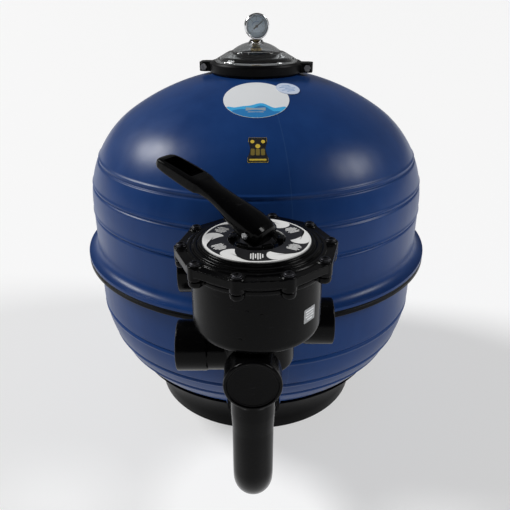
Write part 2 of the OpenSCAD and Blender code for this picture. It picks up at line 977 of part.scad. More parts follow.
module valve_body() {
    color([0.05, 0.05, 0.06])
    difference() {
        union() {
            translate([0, -valve_y, body_z])
                cylinder(r = body_r, h = cover_z - body_z - lap);
            translate([0, 0, cover_z - flange_h])
                linear_extrude(height = flange_h)
                    screw_flange(0.8);
            translate([0, -valve_y, manifold_z])
                cylinder(r = manifold_r, h = body_z - manifold_z + over);
            rod_x(left_port_r, -port_x, 0, -valve_y, port_z);
            translate([-body_r + 9, -valve_y - web_half, port_z])
                cube([40, 2 * web_half, body_z - port_z + lap]);
            rod_x(right_port_r, 10, port_x + 3, -side_port_y, port_z);
            translate([10, -side_port_y, port_z])
                sphere(r = right_port_r);
            rod_x(pump_port_r, -port_x, -pump_port_end, -side_port_y, pump_port_z);
            translate([-pump_port_end, -side_port_y, pump_port_z])
                sphere(r = pump_port_r);
            rod_y(neck_pipe_r, valve_y, neck_end_y, port_z, tube_x);
            rod_y(tail_r, upper_tail_y, valve_y - 20, top_port_z);
            rod_y(fitting_r, upper_tail_y, upper_tail_y + tail_flange_t, top_port_z);
        }
        translate([0, -valve_y, seat_z])
            cylinder(r = body_in_r, h = 60);
        for (i = [0 : 5])
            translate([0, -valve_y, 0])
                rotate([0, 0, i * 60])
                    translate([42, 0, top_port_z])
                        cylinder(r = 14, h = 40);
        translate([0, -valve_y, manifold_z + 10])
            cylinder(r = port_bore_r + 3, h = seat_z - manifold_z - 10 + over);
        rod_x(socket_r, -port_x - over, -port_x + socket_depth, -valve_y, port_z);
        rod_x(port_bore_r, -port_x, -4, -valve_y, port_z);
        rod_x(socket_r, port_x + 3 - socket_depth, port_x + 4, -side_port_y, port_z);
        rod_x(port_bore_r, 14, port_x, -side_port_y, port_z);
        translate([28, -side_port_y - 20, port_z])
            cylinder(r = 12, h = top_port_z - port_z + 20);
        rod_x(socket_r, -port_x - over, -port_x + socket_depth, -side_port_y, pump_port_z);
        rod_x(port_bore_r, -port_x, -pump_port_end + 8, -side_port_y, pump_port_z);
        rod_y(port_bore_r, valve_y, neck_end_y + over, port_z, tube_x);
        rod_y(port_bore_r, upper_tail_y - over, valve_y - 24, top_port_z);
        at_screws()
            translate([0, 0, insert_z - 0.5])
                cylinder(r = insert_r + fit_gap, h = 20);
        translate([0, -valve_y, 0])
            ring(72, 68.4, cover_z - 3.6, cover_z + over);
    }
}

module cover_oring() {
    color([0.1, 0.1, 0.1])
        translate([0, -valve_y, 0])
            seal_ring(70.2, 1.7, cover_z - 1.8);
}

module cover_inserts() {
    color([0.75, 0.6, 0.3])
    at_screws()
        ring(insert_r, screw_r + fit_gap, insert_z, cover_z - 1);
}

module valve_cover() {
    ridges = [[82, 2], [75, 4.5], [68, 7]];
    notch_count = 6;
    color([0.05, 0.05, 0.06])
    difference() {
        union() {
            translate([0, 0, cover_z])
                linear_extrude(height = cover_top_z - cover_z)
                    screw_flange(0);
            at_screws()
                translate([0, 0, cover_top_z - lap])
                    cylinder(r = lobe_r - 0.5, h = boss_z - cover_top_z + lap);
            for (step = ridges)
                translate([0, -valve_y, cover_top_z - over])
                    cylinder(r = step[0], h = step[1] + over);
            translate([0, -valve_y, 0])
                for (i = [0 : notch_count - 1])
                    rotate([0, 0, handle_turn + (i + 0.5) * 360 / notch_count])
                        translate([hub_in_r + 1, -6, hub_z])
                            cube([7, 12, 7]);
        }
        translate([0, -valve_y, cover_z - over])
            cylinder(r = body_in_r, h = cover_under_z - cover_z + over);
        translate([0, -valve_y, cover_z])
            cylinder(r = shaft_r + running_gap, h = 60);
        translate([0, -valve_y, 0])
            ring(plate_out_r + 0.5, plate_in_r - 0.5, plate_z - plate_t, plate_z + over);
        translate([0, -valve_y, hub_z])
            cylinder(r = hub_in_r, h = 20);
        at_screws()
            translate([0, 0, cover_z - over])
                cylinder(r = screw_r + 0.3, h = 40);
    }
}

module cover_screws() {
    color([0.7, 0.71, 0.73])
    at_screws() {
        translate([0, 0, insert_z + over])
            cylinder(r = screw_r, h = boss_z - insert_z - over);
        translate([0, 0, boss_z])
            cylinder(r = 6, h = 3, $fn = 6);
    }
}

module indicator_plate() {
    color([0.93, 0.93, 0.92])
        translate([0, -valve_y, 0])
            ring(plate_out_r, plate_in_r, plate_z - plate_t, plate_z);
}

module slip_washer() {
    color([0.85, 0.85, 0.82])
        translate([0, -valve_y, 0])
            ring(20, shaft_r + running_gap, hub_z, hub_z + 1.5);
}

module rotor() {
    color([0.2, 0.2, 0.22])
    difference() {
        union() {
            translate([0, -valve_y, rotor_z])
                cylinder(r = rotor_r, h = rotor_top_z - rotor_z);
            translate([0, -valve_y, rotor_top_z - over])
                cylinder(r = shaft_r, h = pin_z - rotor_top_z + over);
            translate([0, -valve_y, pin_z])
                sphere(r = shaft_r);
        }
        translate([30, -valve_y, rotor_z - over])
            cylinder(r = 15, h = 10);
        translate([-26, -valve_y - 26, rotor_z - over])
            cylinder(r = 15, h = 30);
        translate([0, -valve_y, pin_z])
            rotate([0, 0, handle_turn])
                rotate([90, 0, 0])
                    translate([0, 0, -30])
                        cylinder(r = pin_r, h = 60);
        for (z = [cover_under_z + 3, cover_under_z + 8])
            translate([0, -valve_y, 0])
                ring(shaft_r + over, shaft_r - 1.6, z - 1, z + 1);
    }
}

module shaft_seals() {
    color([0.1, 0.1, 0.1])
    translate([0, -valve_y, 0])
        for (z = [cover_under_z + 3, cover_under_z + 8])
            seal_ring(shaft_r - 0.75, 0.75, z);
}

module spider_gasket() {
    spoke_count = 6;
    color([0.1, 0.1, 0.1])
    translate([0, -valve_y, seat_z])
        linear_extrude(3) {
            difference() {
                circle(r = 61);
                circle(r = 57);
            }
            difference() {
                circle(r = 27);
                circle(r = 24);
            }
            for (i = [0 : spoke_count - 1])
                rotate(30 + i * 360 / spoke_count)
                    translate([25.5, -1.8])
                        square([33, 3.6]);
        }
}

// A coil spring swept as a closed tube
module rotor_spring() {
    coils = 4;
    mean_r = 22;
    wire_r = 1.8;
    sides = 8;
    steps = 16 * coils;
    low = rotor_top_z + wire_r + 0.3;
    high = cover_under_z - wire_r - 0.3;
    points = [for (i = [0 : steps]) for (j = [0 : sides - 1])
        let (a = 360 * coils * i / steps, b = 360 * j / sides, r = mean_r + wire_r * cos(b))
        [r * cos(a), r * sin(a) - valve_y, low + (high - low) * i / steps + wire_r * sin(b)]];
    sides_faces = [for (i = [0 : steps - 1]) for (j = [0 : sides - 1])
        let (k = (j + 1) % sides)
        [i * sides + j, (i + 1) * sides + j, (i + 1) * sides + k, i * sides + k]];
    ends = [[for (j = [0 : sides - 1]) j], [for (j = [sides - 1 : -1 : 0]) steps * sides + j]];
    color([0.75, 0.76, 0.78])
        polyhedron(points = points, faces = concat(sides_faces, ends));
}

// Places a child of the handle's own frame on the valve
module at_handle() {
    translate([0, -valve_y, pin_z])
        rotate([0, 0, handle_turn])
            rotate([0, -handle_rise, 0])
                children();
}

// Two round lobes side by side across the lever
module lobes(x, z, half, r) {
    for (side = [-1, 1])
        translate([x, side * half, z])
            sphere(r = r, $fn = 32);
}

// The handle's root: a barrel about the pin with rounded ends
module handle_cap() {
    intersection() {
        translate([0, -valve_y, pin_z])
            rotate([0, 0, handle_turn])
                rotate([90, 0, 0])
                    rotate_extrude()
                        intersection() {
                            translate([0, -cheek_out])
                                square([cap_r, 2 * cheek_out]);
                            circle(r = cheek_out + 4);
                        }
        translate([0, -valve_y, pin_z - 30])
            cylinder(r = hub_in_r - over, h = 60);
    }
}

module handle() {
    color([0.05, 0.05, 0.06])
    difference() {
        union() {
            handle_cap();
            at_handle() {
                hull() {
                    lobes(11, 2, 8, 13);
                    lobes(76, 10, 7, 7.5);
                }
                hull() {
                    lobes(90, 9, 11, 9.5);
                    lobes(handle_len - 8, 6, 10, 8);
                }
            }
        }
        translate([0, -valve_y, pin_z - cap_low])
            rotate([0, 0, handle_turn])
                translate([-60, -60, -30])
                    cube([120, 120, 30]);
        translate([0, -valve_y, pin_z])
            rotate([0, 0, handle_turn]) {
                rotate([90, 0, 0])
                    translate([0, 0, -cheek_in])
                        cylinder(r = shaft_r + 1.5, h = 2 * cheek_in);
                rotate([90, 0, 0])
                    translate([0, 0, -slot_half])
                        linear_extrude(2 * slot_half)
                            polygon([
                                [-slot_side, 0], [-slot_side, -slot_low],
                                [slot_side + slot_low * tan(slot_swing), -slot_low], [slot_side, 0]
                            ]);
                rotate([90, 0, 0])
                    translate([0, 0, -30])
                        cylinder(r = pin_r + running_gap, h = 60);
            }
    }
}

module handle_pin() {
    color([0.7, 0.71, 0.73])
    translate([0, -valve_y, pin_z])
        rotate([0, 0, handle_turn])
            rotate([90, 0, 0])
                translate([0, 0, -pin_half])
                    cylinder(r = pin_r, h = 2 * pin_half);
}

// The bend from the upright front tube to the level leg under the valve
module loop_elbow(r) {
    translate([0, -tube_y + loop_bend, low_port_z + loop_bend])
        rotate([0, 90, 0])
            rotate([0, 0, -90])
                rotate_extrude(angle = 90)
                    translate([loop_bend, 0])
                        circle(r = r);
}

module loop_pipe() {
    top_r = loop_r + 1.3;
    color([0.05, 0.05, 0.06])
    translate([tube_x, 0, 0])
    difference() {
        union() {
            rod_y(tee_r, tee_back_y, tee_front_y, port_z);
            translate([0, -tube_y, 0])
                rotate_extrude()
                    polygon([
                        [0, low_port_z + loop_bend], [loop_r, low_port_z + loop_bend],
                        [loop_r, port_z - 80], [top_r, port_z - 55],
                        [top_r, tube_top_z], [0, tube_top_z]
                    ]);
            loop_elbow(loop_r);
            rod_y(loop_r, lower_tail_y, tube_y - loop_bend, low_port_z);
            rod_y(fitting_r, lower_tail_y, lower_tail_y + tail_flange_t, low_port_z);
        }
        rod_y(neck_pipe_r + running_gap, tube_y - 60, neck_end_y, port_z);
        rod_y(plug_r, plug_back_y, tee_front_y + over, port_z);
        rod_y(loop_r - tube_wall + 1.5, neck_end_y - over, plug_back_y + over, port_z);
        translate([0, -tube_y, low_port_z + loop_bend])
            cylinder(r = loop_r - tube_wall, h = port_z - low_port_z - loop_bend);
        loop_elbow(loop_r - tube_wall);
        rod_y(loop_r - tube_wall, lower_tail_y - over, tube_y - loop_bend, low_port_z);
    }
}

module tee_plug() {
    color([0.04, 0.04, 0.05])
    translate([tube_x, 0, 0])
    difference() {
        rod_y(plug_r - running_gap, plug_back_y, plug_back_y + plug_t, port_z);
        rod_y(plug_r - 5, plug_back_y - over, plug_back_y + plug_t - 4, port_z);
    }
}

module body_sticker() {
    sticker_turn = 53;
    sticker_z = 422;
    color([0.5, 0.51, 0.53])
    translate([0, -valve_y, 0])
        intersection() {
            ring(body_r + 0.6, body_r + running_gap, sticker_z - 11, sticker_z + 11);
            rotate([0, 0, sticker_turn])
                translate([-10, -far, 0])
                    cube([20, far, far]);
        }
}

upper_shell();
lower_shell();
waist_band();
foot_ring();
neck_collar();
name_label();
small_label();
square_label();
drain_spigot();
drain_seal();
drain_cap();
lid_dome();
lid_oring();
clamp_front();
clamp_back();
clamp_bolts();
clamp_nuts();
gauge_bushing();
gauge_seal();
gauge_case();
gauge_bezel();
gauge_dial();
gauge_needle();
gauge_lens();
diffuser_pipe();
diffuser_head();
collector_pipe();
collector_hub();
laterals();
upper_bulkhead();
upper_gasket();
upper_locknut();
upper_union_nut();
upper_union_seal();
lower_bulkhead();
lower_gasket();
lower_locknut();
lower_union_nut();
lower_union_seal();
valve_body();
valve_cover();
cover_oring();
cover_screws();
cover_inserts();
indicator_plate();
slip_washer();
rotor();
shaft_seals();
spider_gasket();
rotor_spring();
handle();
handle_pin();
loop_pipe();
tee_plug();
body_sticker();
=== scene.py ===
"""Looks of the side-mount sand filter tank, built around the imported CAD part.

Units are metres, +Z is up and the valve stands on the -Y side. Sizes that repeat the CAD design are
named values in millimetres, turned into metres by mm().
"""
import json
import math

import bmesh
import bpy
from mathutils import Matrix, Vector


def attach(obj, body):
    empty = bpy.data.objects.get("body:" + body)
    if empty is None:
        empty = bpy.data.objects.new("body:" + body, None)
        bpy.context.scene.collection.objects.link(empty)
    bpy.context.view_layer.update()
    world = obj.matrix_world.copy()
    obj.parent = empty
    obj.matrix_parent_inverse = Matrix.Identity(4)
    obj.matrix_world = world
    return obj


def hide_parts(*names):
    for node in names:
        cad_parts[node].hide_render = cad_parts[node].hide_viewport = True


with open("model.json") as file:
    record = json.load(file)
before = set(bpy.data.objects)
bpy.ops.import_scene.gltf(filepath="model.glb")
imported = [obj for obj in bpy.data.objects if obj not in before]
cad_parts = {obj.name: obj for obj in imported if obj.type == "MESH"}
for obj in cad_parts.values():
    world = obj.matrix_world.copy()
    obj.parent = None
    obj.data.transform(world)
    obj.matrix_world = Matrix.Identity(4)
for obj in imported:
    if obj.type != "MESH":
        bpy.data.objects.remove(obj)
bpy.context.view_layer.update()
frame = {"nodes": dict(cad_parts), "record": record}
nodes = frame["nodes"]


def mm(value):
    return value * 0.001


def spin(angle, axis="Z"):
    """A turn in degrees about an axis."""
    return Matrix.Rotation(math.radians(angle), 4, axis)


def shift(x, y, z=0):
    """A move in millimetres."""
    return Matrix.Translation((mm(x), mm(y), mm(z)))


# ---------------------------------------------------------------- sizes shared with the CAD design (mm)
TANK_R = 301.5
WALL = 6.0
WAIST_R = 319.8
WAIST_Z = 315.0
UPPER_KNUCKLE_R, UPPER_CROWN_R, UPPER_KNUCKLE_Z = 180.0, 395.0, 414.0
LOWER_KNUCKLE_R, LOWER_CROWN_R, LOWER_KNUCKLE_Z = 200.0, 496.0, 238.0
UPPER_GROOVES = (397.0, 446.0, 489.0)
LOWER_GROOVES = (138.0, 169.0, 222.0)
LID_Z = 635.0
GAUGE_Z, GAUGE_R, GAUGE_TURN = 700.0, 21.0, 12.0
VALVE_Y = 426.0
BODY_R, BODY_Z, COVER_Z, COVER_TOP = 79.0, 383.0, 470.0, 486.0
SCREW_RING_R, SCREWS, COVER_TURN = 88.0, 10, 4.4
PORT_Z, PORT_X, SIDE_PORT_Y = 345.0, 101.0, 368.0
PIN_Z, HANDLE_TURN, HANDLE_RISE = 505.0, 145.0, 21.0
PLATE_Z, PLATE_R, PLATE_IN_R = 494.0, 63.5, 34.0
TUBE_X, TUBE_Y, TUBE_R, TUBE_BEND, LOW_PORT_Z = -4.5, 484.0, 25.7, 45.0, 155.0
TOP_PORT_Z = 405.0
TEE_R, TEE_FRONT, TEE_BACK = 34.6, 511.0, 475.0
PAD_R, UPPER_PAD_Y, LOWER_PAD_Y = 44.0, 308.0, 304.0
FITTING_HOLE_R, DRAIN_HOLE_R, DRAIN_Z = 30.1, 16.1, 124.0
SOCKET_R, SOCKET_DEPTH, BORE_R, PUMP_PORT_Z, TAIL_START = 25.1, 30.0, 20.0, 425.0, 331.0
SEAT_Z, CAVITY_R = 430.0, 66.0
CLAMP_TURN, EAR_X = -7.0, 90.0

# Camera: the first three in metres, then degrees, then millimetres.
CAMERA_X, CAMERA_BACK, CAMERA_HEIGHT = -0.002, 1.0246, 0.7565
CAMERA_PITCH = 25.4
LENS, SENSOR = 39.5, 36.0

SMOOTH_ANGLE = 35.0

ALONG_MINUS_Y = spin(90, "X")
VALVE = shift(0, -VALVE_Y)


# ---------------------------------------------------------------- outlines
def arc(cx, cz, r, start, end, steps):
    """Points on an arc, in degrees from +X towards +Z."""
    out = []
    for i in range(steps + 1):
        a = math.radians(start + (end - start) * i / steps)
        out.append((cx + r * math.cos(a), cz + r * math.sin(a)))
    return out


def rounded(points, steps=4):
    """A closed outline whose corners given as (x, z, radius) are rounded."""
    out = []
    n = len(points)
    for i, p in enumerate(points):
        radius = p[2] if len(p) > 2 else 0
        here = Vector(p[:2])
        if not radius:
            out.append(tuple(here))
            continue
        before = Vector(points[i - 1][:2]) - here
        after = Vector(points[(i + 1) % n][:2]) - here
        half = before.angle(after) / 2
        cut = min(radius / math.tan(half), 0.49 * before.length, 0.49 * after.length)
        radius = cut * math.tan(half)
        a, b = here + before.normalized() * cut, here + after.normalized() * cut
        middle = here + (before.normalized() + after.normalized()).normalized() * radius / math.sin(half)
        va, vb = a - middle, b - middle
        turn = va.angle_signed(vb)
        for k in range(steps + 1):
            t = -turn * k / steps
            out.append(tuple(middle + Matrix.Rotation(t, 2) @ va))
    return out


def puck(r, low, high, low_edge=0, high_edge=0):
    """Outline of a solid disc with rounded edges."""
    return rounded([(0, low), (r, low, low_edge), (r, high, high_edge), (0, high)])


# ---------------------------------------------------------------- mesh builders
def finish_mesh(name, bm):
    bmesh.ops.recalc_face_normals(bm, faces=bm.faces)
    mesh = bpy.data.meshes.new(name)
    bm.to_mesh(mesh)
    bm.free()
    mesh.shade_smooth()
    mesh.set_sharp_from_angle(angle=math.radians(SMOOTH_ANGLE))
    piece = bpy.data.objects.new(name, mesh)
    bpy.context.scene.collection.objects.link(piece)
    return piece


def lathe(name, outline, segments=128, where=Matrix.Identity(4), start=0.0, sweep=360.0):
    """Turns a closed outline of (radius, height) in mm round the Z axis, then places it."""
    bm = bmesh.new()
    whole = sweep >= 360
    count = segments if whole else segments + 1
    rings = []
    for r, z in outline:
        if abs(r) < 1e-6 and whole:
            rings.append([bm.verts.new(where @ Vector((0, 0, mm(z))))])
            continue
        ring = []
        for k in range(count):
            a = math.radians(start + sweep * k / segments)
            ring.append(bm.verts.new(where @ Vector((mm(r) * math.cos(a), mm(r) * math.sin(a), mm(z)))))
        rings.append(ring)
    for i, ring in enumerate(rings):
        other = rings[(i + 1) % len(rings)]
        for k in range(segments):
            j = (k + 1) % count
            if len(ring) == 1 and len(other) == 1:
                continue
            if len(ring) == 1:
                bm.faces.new((ring[0], other[j], other[k]))
            elif len(other) == 1:
                bm.faces.new((ring[k], ring[j], other[0]))
            else:
                bm.faces.new((ring[k], ring[j], other[j], other[k]))
    if not whole:
        bm.faces.new([ring[0] for ring in rings])
        bm.faces.new([ring[-1] for ring in reversed(rings)])
    return finish_mesh(name, bm)


def rod(name, r, low, high, segments, where=Matrix.Identity(4)):
    """A plain cylinder of radius r in mm from low to high."""
    return lathe(name, [(0, low), (r, low), (r, high), (0, high)], segments, where)


def loft(name, sections):
    """Skins a list of closed rings of points, in metres, in the same order, and closes both ends."""
    bm = bmesh.new()
    rings = [[bm.verts.new(p) for p in ring] for ring in sections]
    for a, b in zip(rings, rings[1:]):
        n = len(a)
        for k in range(n):
            bm.faces.new((a[k], a[(k + 1) % n], b[(k + 1) % n], b[k]))
    bm.faces.new(list(reversed(rings[0])))
    bm.faces.new(rings[-1])
    return finish_mesh(name, bm)


def tube(name, path, radius, sides=48):
    """A closed round bar along a path of points in mm."""
    sections = []
    up = Vector((1, 0, 0))
    for i, p in enumerate(path):
        here = Vector(p)
        ahead = Vector(path[min(i + 1, len(path) - 1)]) - Vector(path[max(i - 1, 0)])
        ahead.normalize()
        side = up.cross(ahead).normalized()
        ring = []
        for k in range(sides):
            a = 2 * math.pi * k / sides
            ring.append((here + radius * (math.cos(a) * up + math.sin(a) * side)) * 0.001)
        sections.append(ring)
    return loft(name, sections)


def prism(name, outline, z0, z1, where=Matrix.Identity(4), bevel=0.0):
    """Extrudes a closed outline of (x, y) in mm from z0 to z1, with bevelled edges."""
    bm = bmesh.new()
    low = [bm.verts.new(where @ Vector((mm(x), mm(y), mm(z0)))) for x, y in outline]
    high = [bm.verts.new(where @ Vector((mm(x), mm(y), mm(z1)))) for x, y in outline]
    n = len(outline)
    bottom = bm.faces.new(list(reversed(low)))
    top = bm.faces.new(high)
    for k in range(n):
        bm.faces.new((low[k], low[(k + 1) % n], high[(k + 1) % n], high[k]))
    if bevel:
        rim = list(bottom.edges) + list(top.edges)
        bmesh.ops.bevel(bm, geom=rim, offset=mm(bevel), segments=3, profile=0.5, affect="EDGES")
    return finish_mesh(name, bm)


def join(name, objects):
    """Joins objects into one, which takes the name."""
    bpy.ops.object.select_all(action="DESELECT")
    for o in objects:
        o.select_set(True)
    bpy.context.view_layer.objects.active = objects[0]
    bpy.ops.object.join()
    piece = bpy.context.view_layer.objects.active
    piece.name = name
    piece.data.name = name
    return piece


def apply_modifiers(piece):
    bpy.context.view_layer.update()
    shown = piece.evaluated_get(bpy.context.evaluated_depsgraph_get())
    mesh = bpy.data.meshes.new_from_object(shown)
    piece.modifiers.clear()
    piece.data = mesh
    mesh.name = piece.name


def boolean(piece, other, operation):
    cut = piece.modifiers.new("cut", "BOOLEAN")
    cut.operation = operation
    cut.solver = "EXACT"
    cut.object = other
    apply_modifiers(piece)
    bpy.data.objects.remove(other)


def fuse(name, objects, voxel, rounds):
    """Melts overlapping closed solids into one moulded skin with soft fillets."""
    piece = join(name, objects)
    remesh = piece.modifiers.new("skin", "REMESH")
    remesh.mode = "VOXEL"
    remesh.voxel_size = mm(voxel)
    remesh.use_smooth_shade = True
    relax = piece.modifiers.new("relax", "SMOOTH")
    relax.factor = 0.5
    relax.iterations = rounds
    apply_modifiers(piece)
    piece.data.shade_smooth()
    return piece


def place(piece, material, slot, body, *replaced):
    """Gives a finished piece its material and body, and hides the CAD nodes that it replaces. The slot
    argument is not used.
    """
    piece.data.materials.clear()
    piece.data.materials.append(material)
    if replaced:
        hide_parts(*replaced)
    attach(piece, body)


# ---------------------------------------------------------------- materials
def is_socket(value):
    return isinstance(value, bpy.types.NodeSocket)


def rgba(value):
    """Adds full alpha to a colour or a grey value; a socket stays as it is."""
    if is_socket(value):
        return value
    return (*value, 1) if hasattr(value, "__len__") else (value, value, value, 1)


class Recipe:
    """A small helper that builds a Principled material from node calls."""

    def __init__(self, name):
        self.material = bpy.data.materials.new(name)
        self.material.use_nodes = True
        self.tree = self.material.node_tree
        self.shader = self.tree.nodes["Principled BSDF"]
        self.coords = self.tree.nodes.new("ShaderNodeTexCoord").outputs["Object"]

    def put(self, socket, value):
        """Links an output to a socket, or sets the socket to a plain value."""
        if is_socket(value):
            self.tree.links.new(value, socket)
        else:
            socket.default_value = value

    def node(self, kind, inputs, **settings):
        made = self.tree.nodes.new(kind)
        for key, value in settings.items():
            setattr(made, key, value)
        for key, value in inputs.items():
            self.put(made.inputs[key], value)
        return made

    def noise(self, scale, detail=4.0, rough=0.5, stretch=None):
        vector = self.coords
        if stretch:
            vector = self.node("ShaderNodeMapping", {"Vector": vector, "Scale": stretch}).outputs["Vector"]
        return self.node("ShaderNodeTexNoise", {
            "Vector": vector, "Scale": scale, "Detail": detail, "Roughness": rough}).outputs["Fac"]

    def ramp(self, fac, low, high, start=0.35, end=0.65):
        made = self.node("ShaderNodeValToRGB", {"Fac": fac})
        for stop, position, color in zip(made.color_ramp.elements, (start, end), (low, high)):
            stop.position = position
            stop.color = rgba(color)
        return made.outputs["Color"]

    def math(self, operation, *values):
        return self.node("ShaderNodeMath", dict(enumerate(values)), operation=operation).outputs[0]

    def mix(self, fac, a, b):
        # Inputs 0, 6 and 7 are the factor and the two colours.
        return self.node("ShaderNodeMix", {0: fac, 6: rgba(a), 7: rgba(b)}, data_type="RGBA").outputs[2]

    def bump(self, height, strength, distance, normal=None):
        inputs = {"Height": height, "Strength": strength, "Distance": distance}
        if normal is not None:
            inputs["Normal"] = normal
        return self.node("ShaderNodeBump", inputs).outputs["Normal"]

    def feed(self, **sockets):
        names = {"color": "Base Color", "rough": "Roughness", "normal": "Normal", "metal": "Metallic",
                 "ior": "IOR", "coat": "Coat Weight", "coat_rough": "Coat Roughness",
                 "specular": "Specular IOR Level", "transmission": "Transmission Weight"}
        for key, value in sockets.items():
            self.put(self.shader.inputs[names[key]], rgba(value) if key == "color" else value)
        return self.material


def moulded(name, dark, light, rough, rough_spread, grain, grain_scale, specular=0.5):
    """Moulded plastic: blotchy colour, uneven gloss, fine orange peel and a few handling scuffs."""
    r = Recipe(name)
    blotch = r.noise(9.0, 5.0, 0.6)
    peel = r.noise(grain_scale, 3.0, 0.55)
    scuffs = r.noise(60.0, 8.0, 0.75, stretch=(1.0, 1.0, 6.0))
    color = r.mix(r.ramp(scuffs, 0.0, 0.04, 0.60, 0.75), r.ramp(blotch, dark, light), (0.35, 0.36, 0.38))
    gloss = r.ramp(blotch, rough - rough_spread, rough + rough_spread, 0.3, 0.7)
    gloss = r.mix(r.ramp(scuffs, 0.0, 0.5, 0.58, 0.75), gloss, (0.55, 0.55, 0.55))
    return r.feed(color=color, rough=gloss, normal=r.bump(peel, grain, 0.0006), specular=specular)


def tank_plastic():
    """Blow-moulded blue plastic with flow lines, a soft sheen and two faint parting lines: a bumped ridge
    with a painted highlight in lighter blue along it.
    """
    r = Recipe("tank_blue")
    blotch = r.noise(5.0, 5.0, 0.6)
    flow = r.noise(22.0, 4.0, 0.6, stretch=(1.0, 1.0, 0.12))
    peel = r.noise(420.0, 2.0, 0.5)
    swell = r.noise(16.0, 2.0, 0.5)
    color = r.mix(0.35, r.ramp(blotch, TANK_DARK, TANK_LIGHT), r.ramp(flow, TANK_DARK, TANK_LIGHT))
    gloss = r.ramp(flow, 0.28, 0.36, 0.3, 0.7)
    split = r.node("ShaderNodeSeparateXYZ", {"Vector": r.coords})
    x, y = split.outputs["X"], split.outputs["Y"]
    # The parting plane is upright and turned a little from the valve's plane.
    turn = math.radians(PARTING_TURN)
    across = r.math("ADD", r.math("MULTIPLY", x, math.cos(turn)), r.math("MULTIPLY", y, math.sin(turn)))
    away = r.math("MULTIPLY", r.math("ABSOLUTE", across), PARTING_SHARPNESS)
    line = r.math("MAXIMUM", r.math("SUBTRACT", 1.0, away), 0.0)
    # Painted highlight: along the parting line the blue is mixed lighter, standing in for the light its
    # ridge catches.
    color = r.mix(r.math("MULTIPLY", line, 0.10), color, (0.10, 0.22, 0.42))
    normal = r.bump(peel, 0.10, 0.0004)
    normal = r.bump(swell, 0.35, 0.0016, normal)
    normal = r.bump(line, 0.25, 0.0005, normal)
    return r.feed(color=color, rough=gloss, normal=normal, specular=0.15)


def clear_plastic():
    """Clear moulded plastic with a slight haze and waviness."""
    r = Recipe("clear_plastic")
    haze = r.noise(30.0, 4.0, 0.6)
    return r.feed(color=(0.93, 0.95, 0.96), rough=r.ramp(haze, 0.02, 0.07), ior=1.49, transmission=1.0,
                  normal=r.bump(r.noise(14.0, 2.0), 0.25, 0.0008))


def metal(name, tint, rough):
    """Metal with a fine grain and faint stains."""
    r = Recipe(name)
    lines = r.noise(300.0, 3.0, 0.6)
    stains = r.noise(40.0, 5.0, 0.6)
    color = r.mix(r.ramp(stains, 0.0, 0.35), tint, tuple(0.75 * t for t in tint))
    return r.feed(color=color, metal=1.0, rough=r.ramp(lines, rough * 0.8, rough * 1.25),
                  normal=r.bump(lines, 0.12, 0.0002))


def printed(name, ink, rough=0.35):
    """A printed or dyed film: near-flat ink with a faint dot screen and sheen."""
    r = Recipe(name)
    screen = r.noise(900.0, 2.0)
    color = r.mix(r.ramp(screen, 0.0, 0.12), ink, tuple(min(1.0, 0.8 * c + 0.02) for c in ink))
    return r.feed(color=color, rough=r.ramp(r.noise(70.0), rough * 0.85, rough * 1.2),
                  normal=r.bump(r.noise(250.0, 3.0), 0.06, 0.0002))


def rubber():
    """Dusty black rubber."""
    r = Recipe("seal_rubber")
    dust = r.noise(90.0, 6.0, 0.65)
    return r.feed(color=r.ramp(dust, (0.012, 0.012, 0.013), (0.05, 0.05, 0.052)), rough=0.7,
                  normal=r.bump(r.noise(700.0, 3.0), 0.2, 0.0003))


TANK_DARK, TANK_LIGHT = (0.007, 0.034, 0.140), (0.011, 0.050, 0.190)
PARTING_TURN, PARTING_SHARPNESS = 10.0, 900.0
BLUE = tank_plastic()
SATIN = moulded("satin_black", (0.0025, 0.0025, 0.0028), (0.006, 0.006, 0.0065),
                0.34, 0.06, 0.35, 520.0, specular=0.06)
GLOSS = moulded("valve_black", (0.0012, 0.0012, 0.0014), (0.0025, 0.0025, 0.0028),
                0.19, 0.05, 0.10, 380.0, specular=0.08)
WHITE = moulded("white_plastic", (0.72, 0.72, 0.70), (0.80, 0.80, 0.78), 0.42, 0.06, 0.2, 300.0)
GREY = moulded("rotor_grey", (0.02, 0.02, 0.022), (0.04, 0.04, 0.042), 0.4, 0.06, 0.2, 300.0)
CLEAR = clear_plastic()
RUBBER = rubber()
ZINC = metal("zinc_steel", (0.62, 0.63, 0.65), 0.28)
DULL_ZINC = metal("dull_zinc", (0.20, 0.20, 0.21), 0.42)
DARK_ZINC = metal("dark_zinc", (0.045, 0.045, 0.05), 0.36)
CHROME = metal("gauge_steel", (0.72, 0.73, 0.75), 0.12)
BRASS = metal("brass", (0.70, 0.52, 0.24), 0.25)
LABEL_WHITE = printed("label_white", (0.80, 0.82, 0.84))
LABEL_PALE = printed("label_pale", (0.62, 0.70, 0.86))
INK_CYAN = printed("ink_cyan", (0.05, 0.42, 0.78))
INK_DEEP = printed("ink_deep", (0.02, 0.20, 0.50))
INK_GREY = printed("ink_grey", (0.30, 0.36, 0.42))
INK_BLACK = printed("ink_black", (0.012, 0.012, 0.014))
INK_YELLOW = printed("ink_yellow", (0.72, 0.52, 0.06))
DULL_YELLOW = printed("dull_yellow", (0.20, 0.15, 0.03))
DIAL = printed("dial_white", (0.66, 0.78, 0.90))
LABEL_GREY = printed("label_grey_film", (0.33, 0.34, 0.35))
WHITE_INK = printed("plate_white", (0.80, 0.80, 0.79))
MATERIAL_OF_SLOT = {
    "tank_blue": BLUE, "satin_black": SATIN, "valve_black": GLOSS, "label_white": LABEL_WHITE,
    "label_yellow": INK_YELLOW, "label_grey": INK_GREY, "seal_rubber": RUBBER, "clear_plastic": CLEAR,
    "zinc_steel": ZINC, "gauge_steel": CHROME, "brass": BRASS, "dial_white": DIAL,
    "needle_black": INK_BLACK, "white_plastic": WHITE, "rotor_grey": GREY,
}
MATERIAL_OF_NODE = {"slip_washer": GREY, "clamp_bolts": DULL_ZINC, "clamp_nuts": DULL_ZINC}


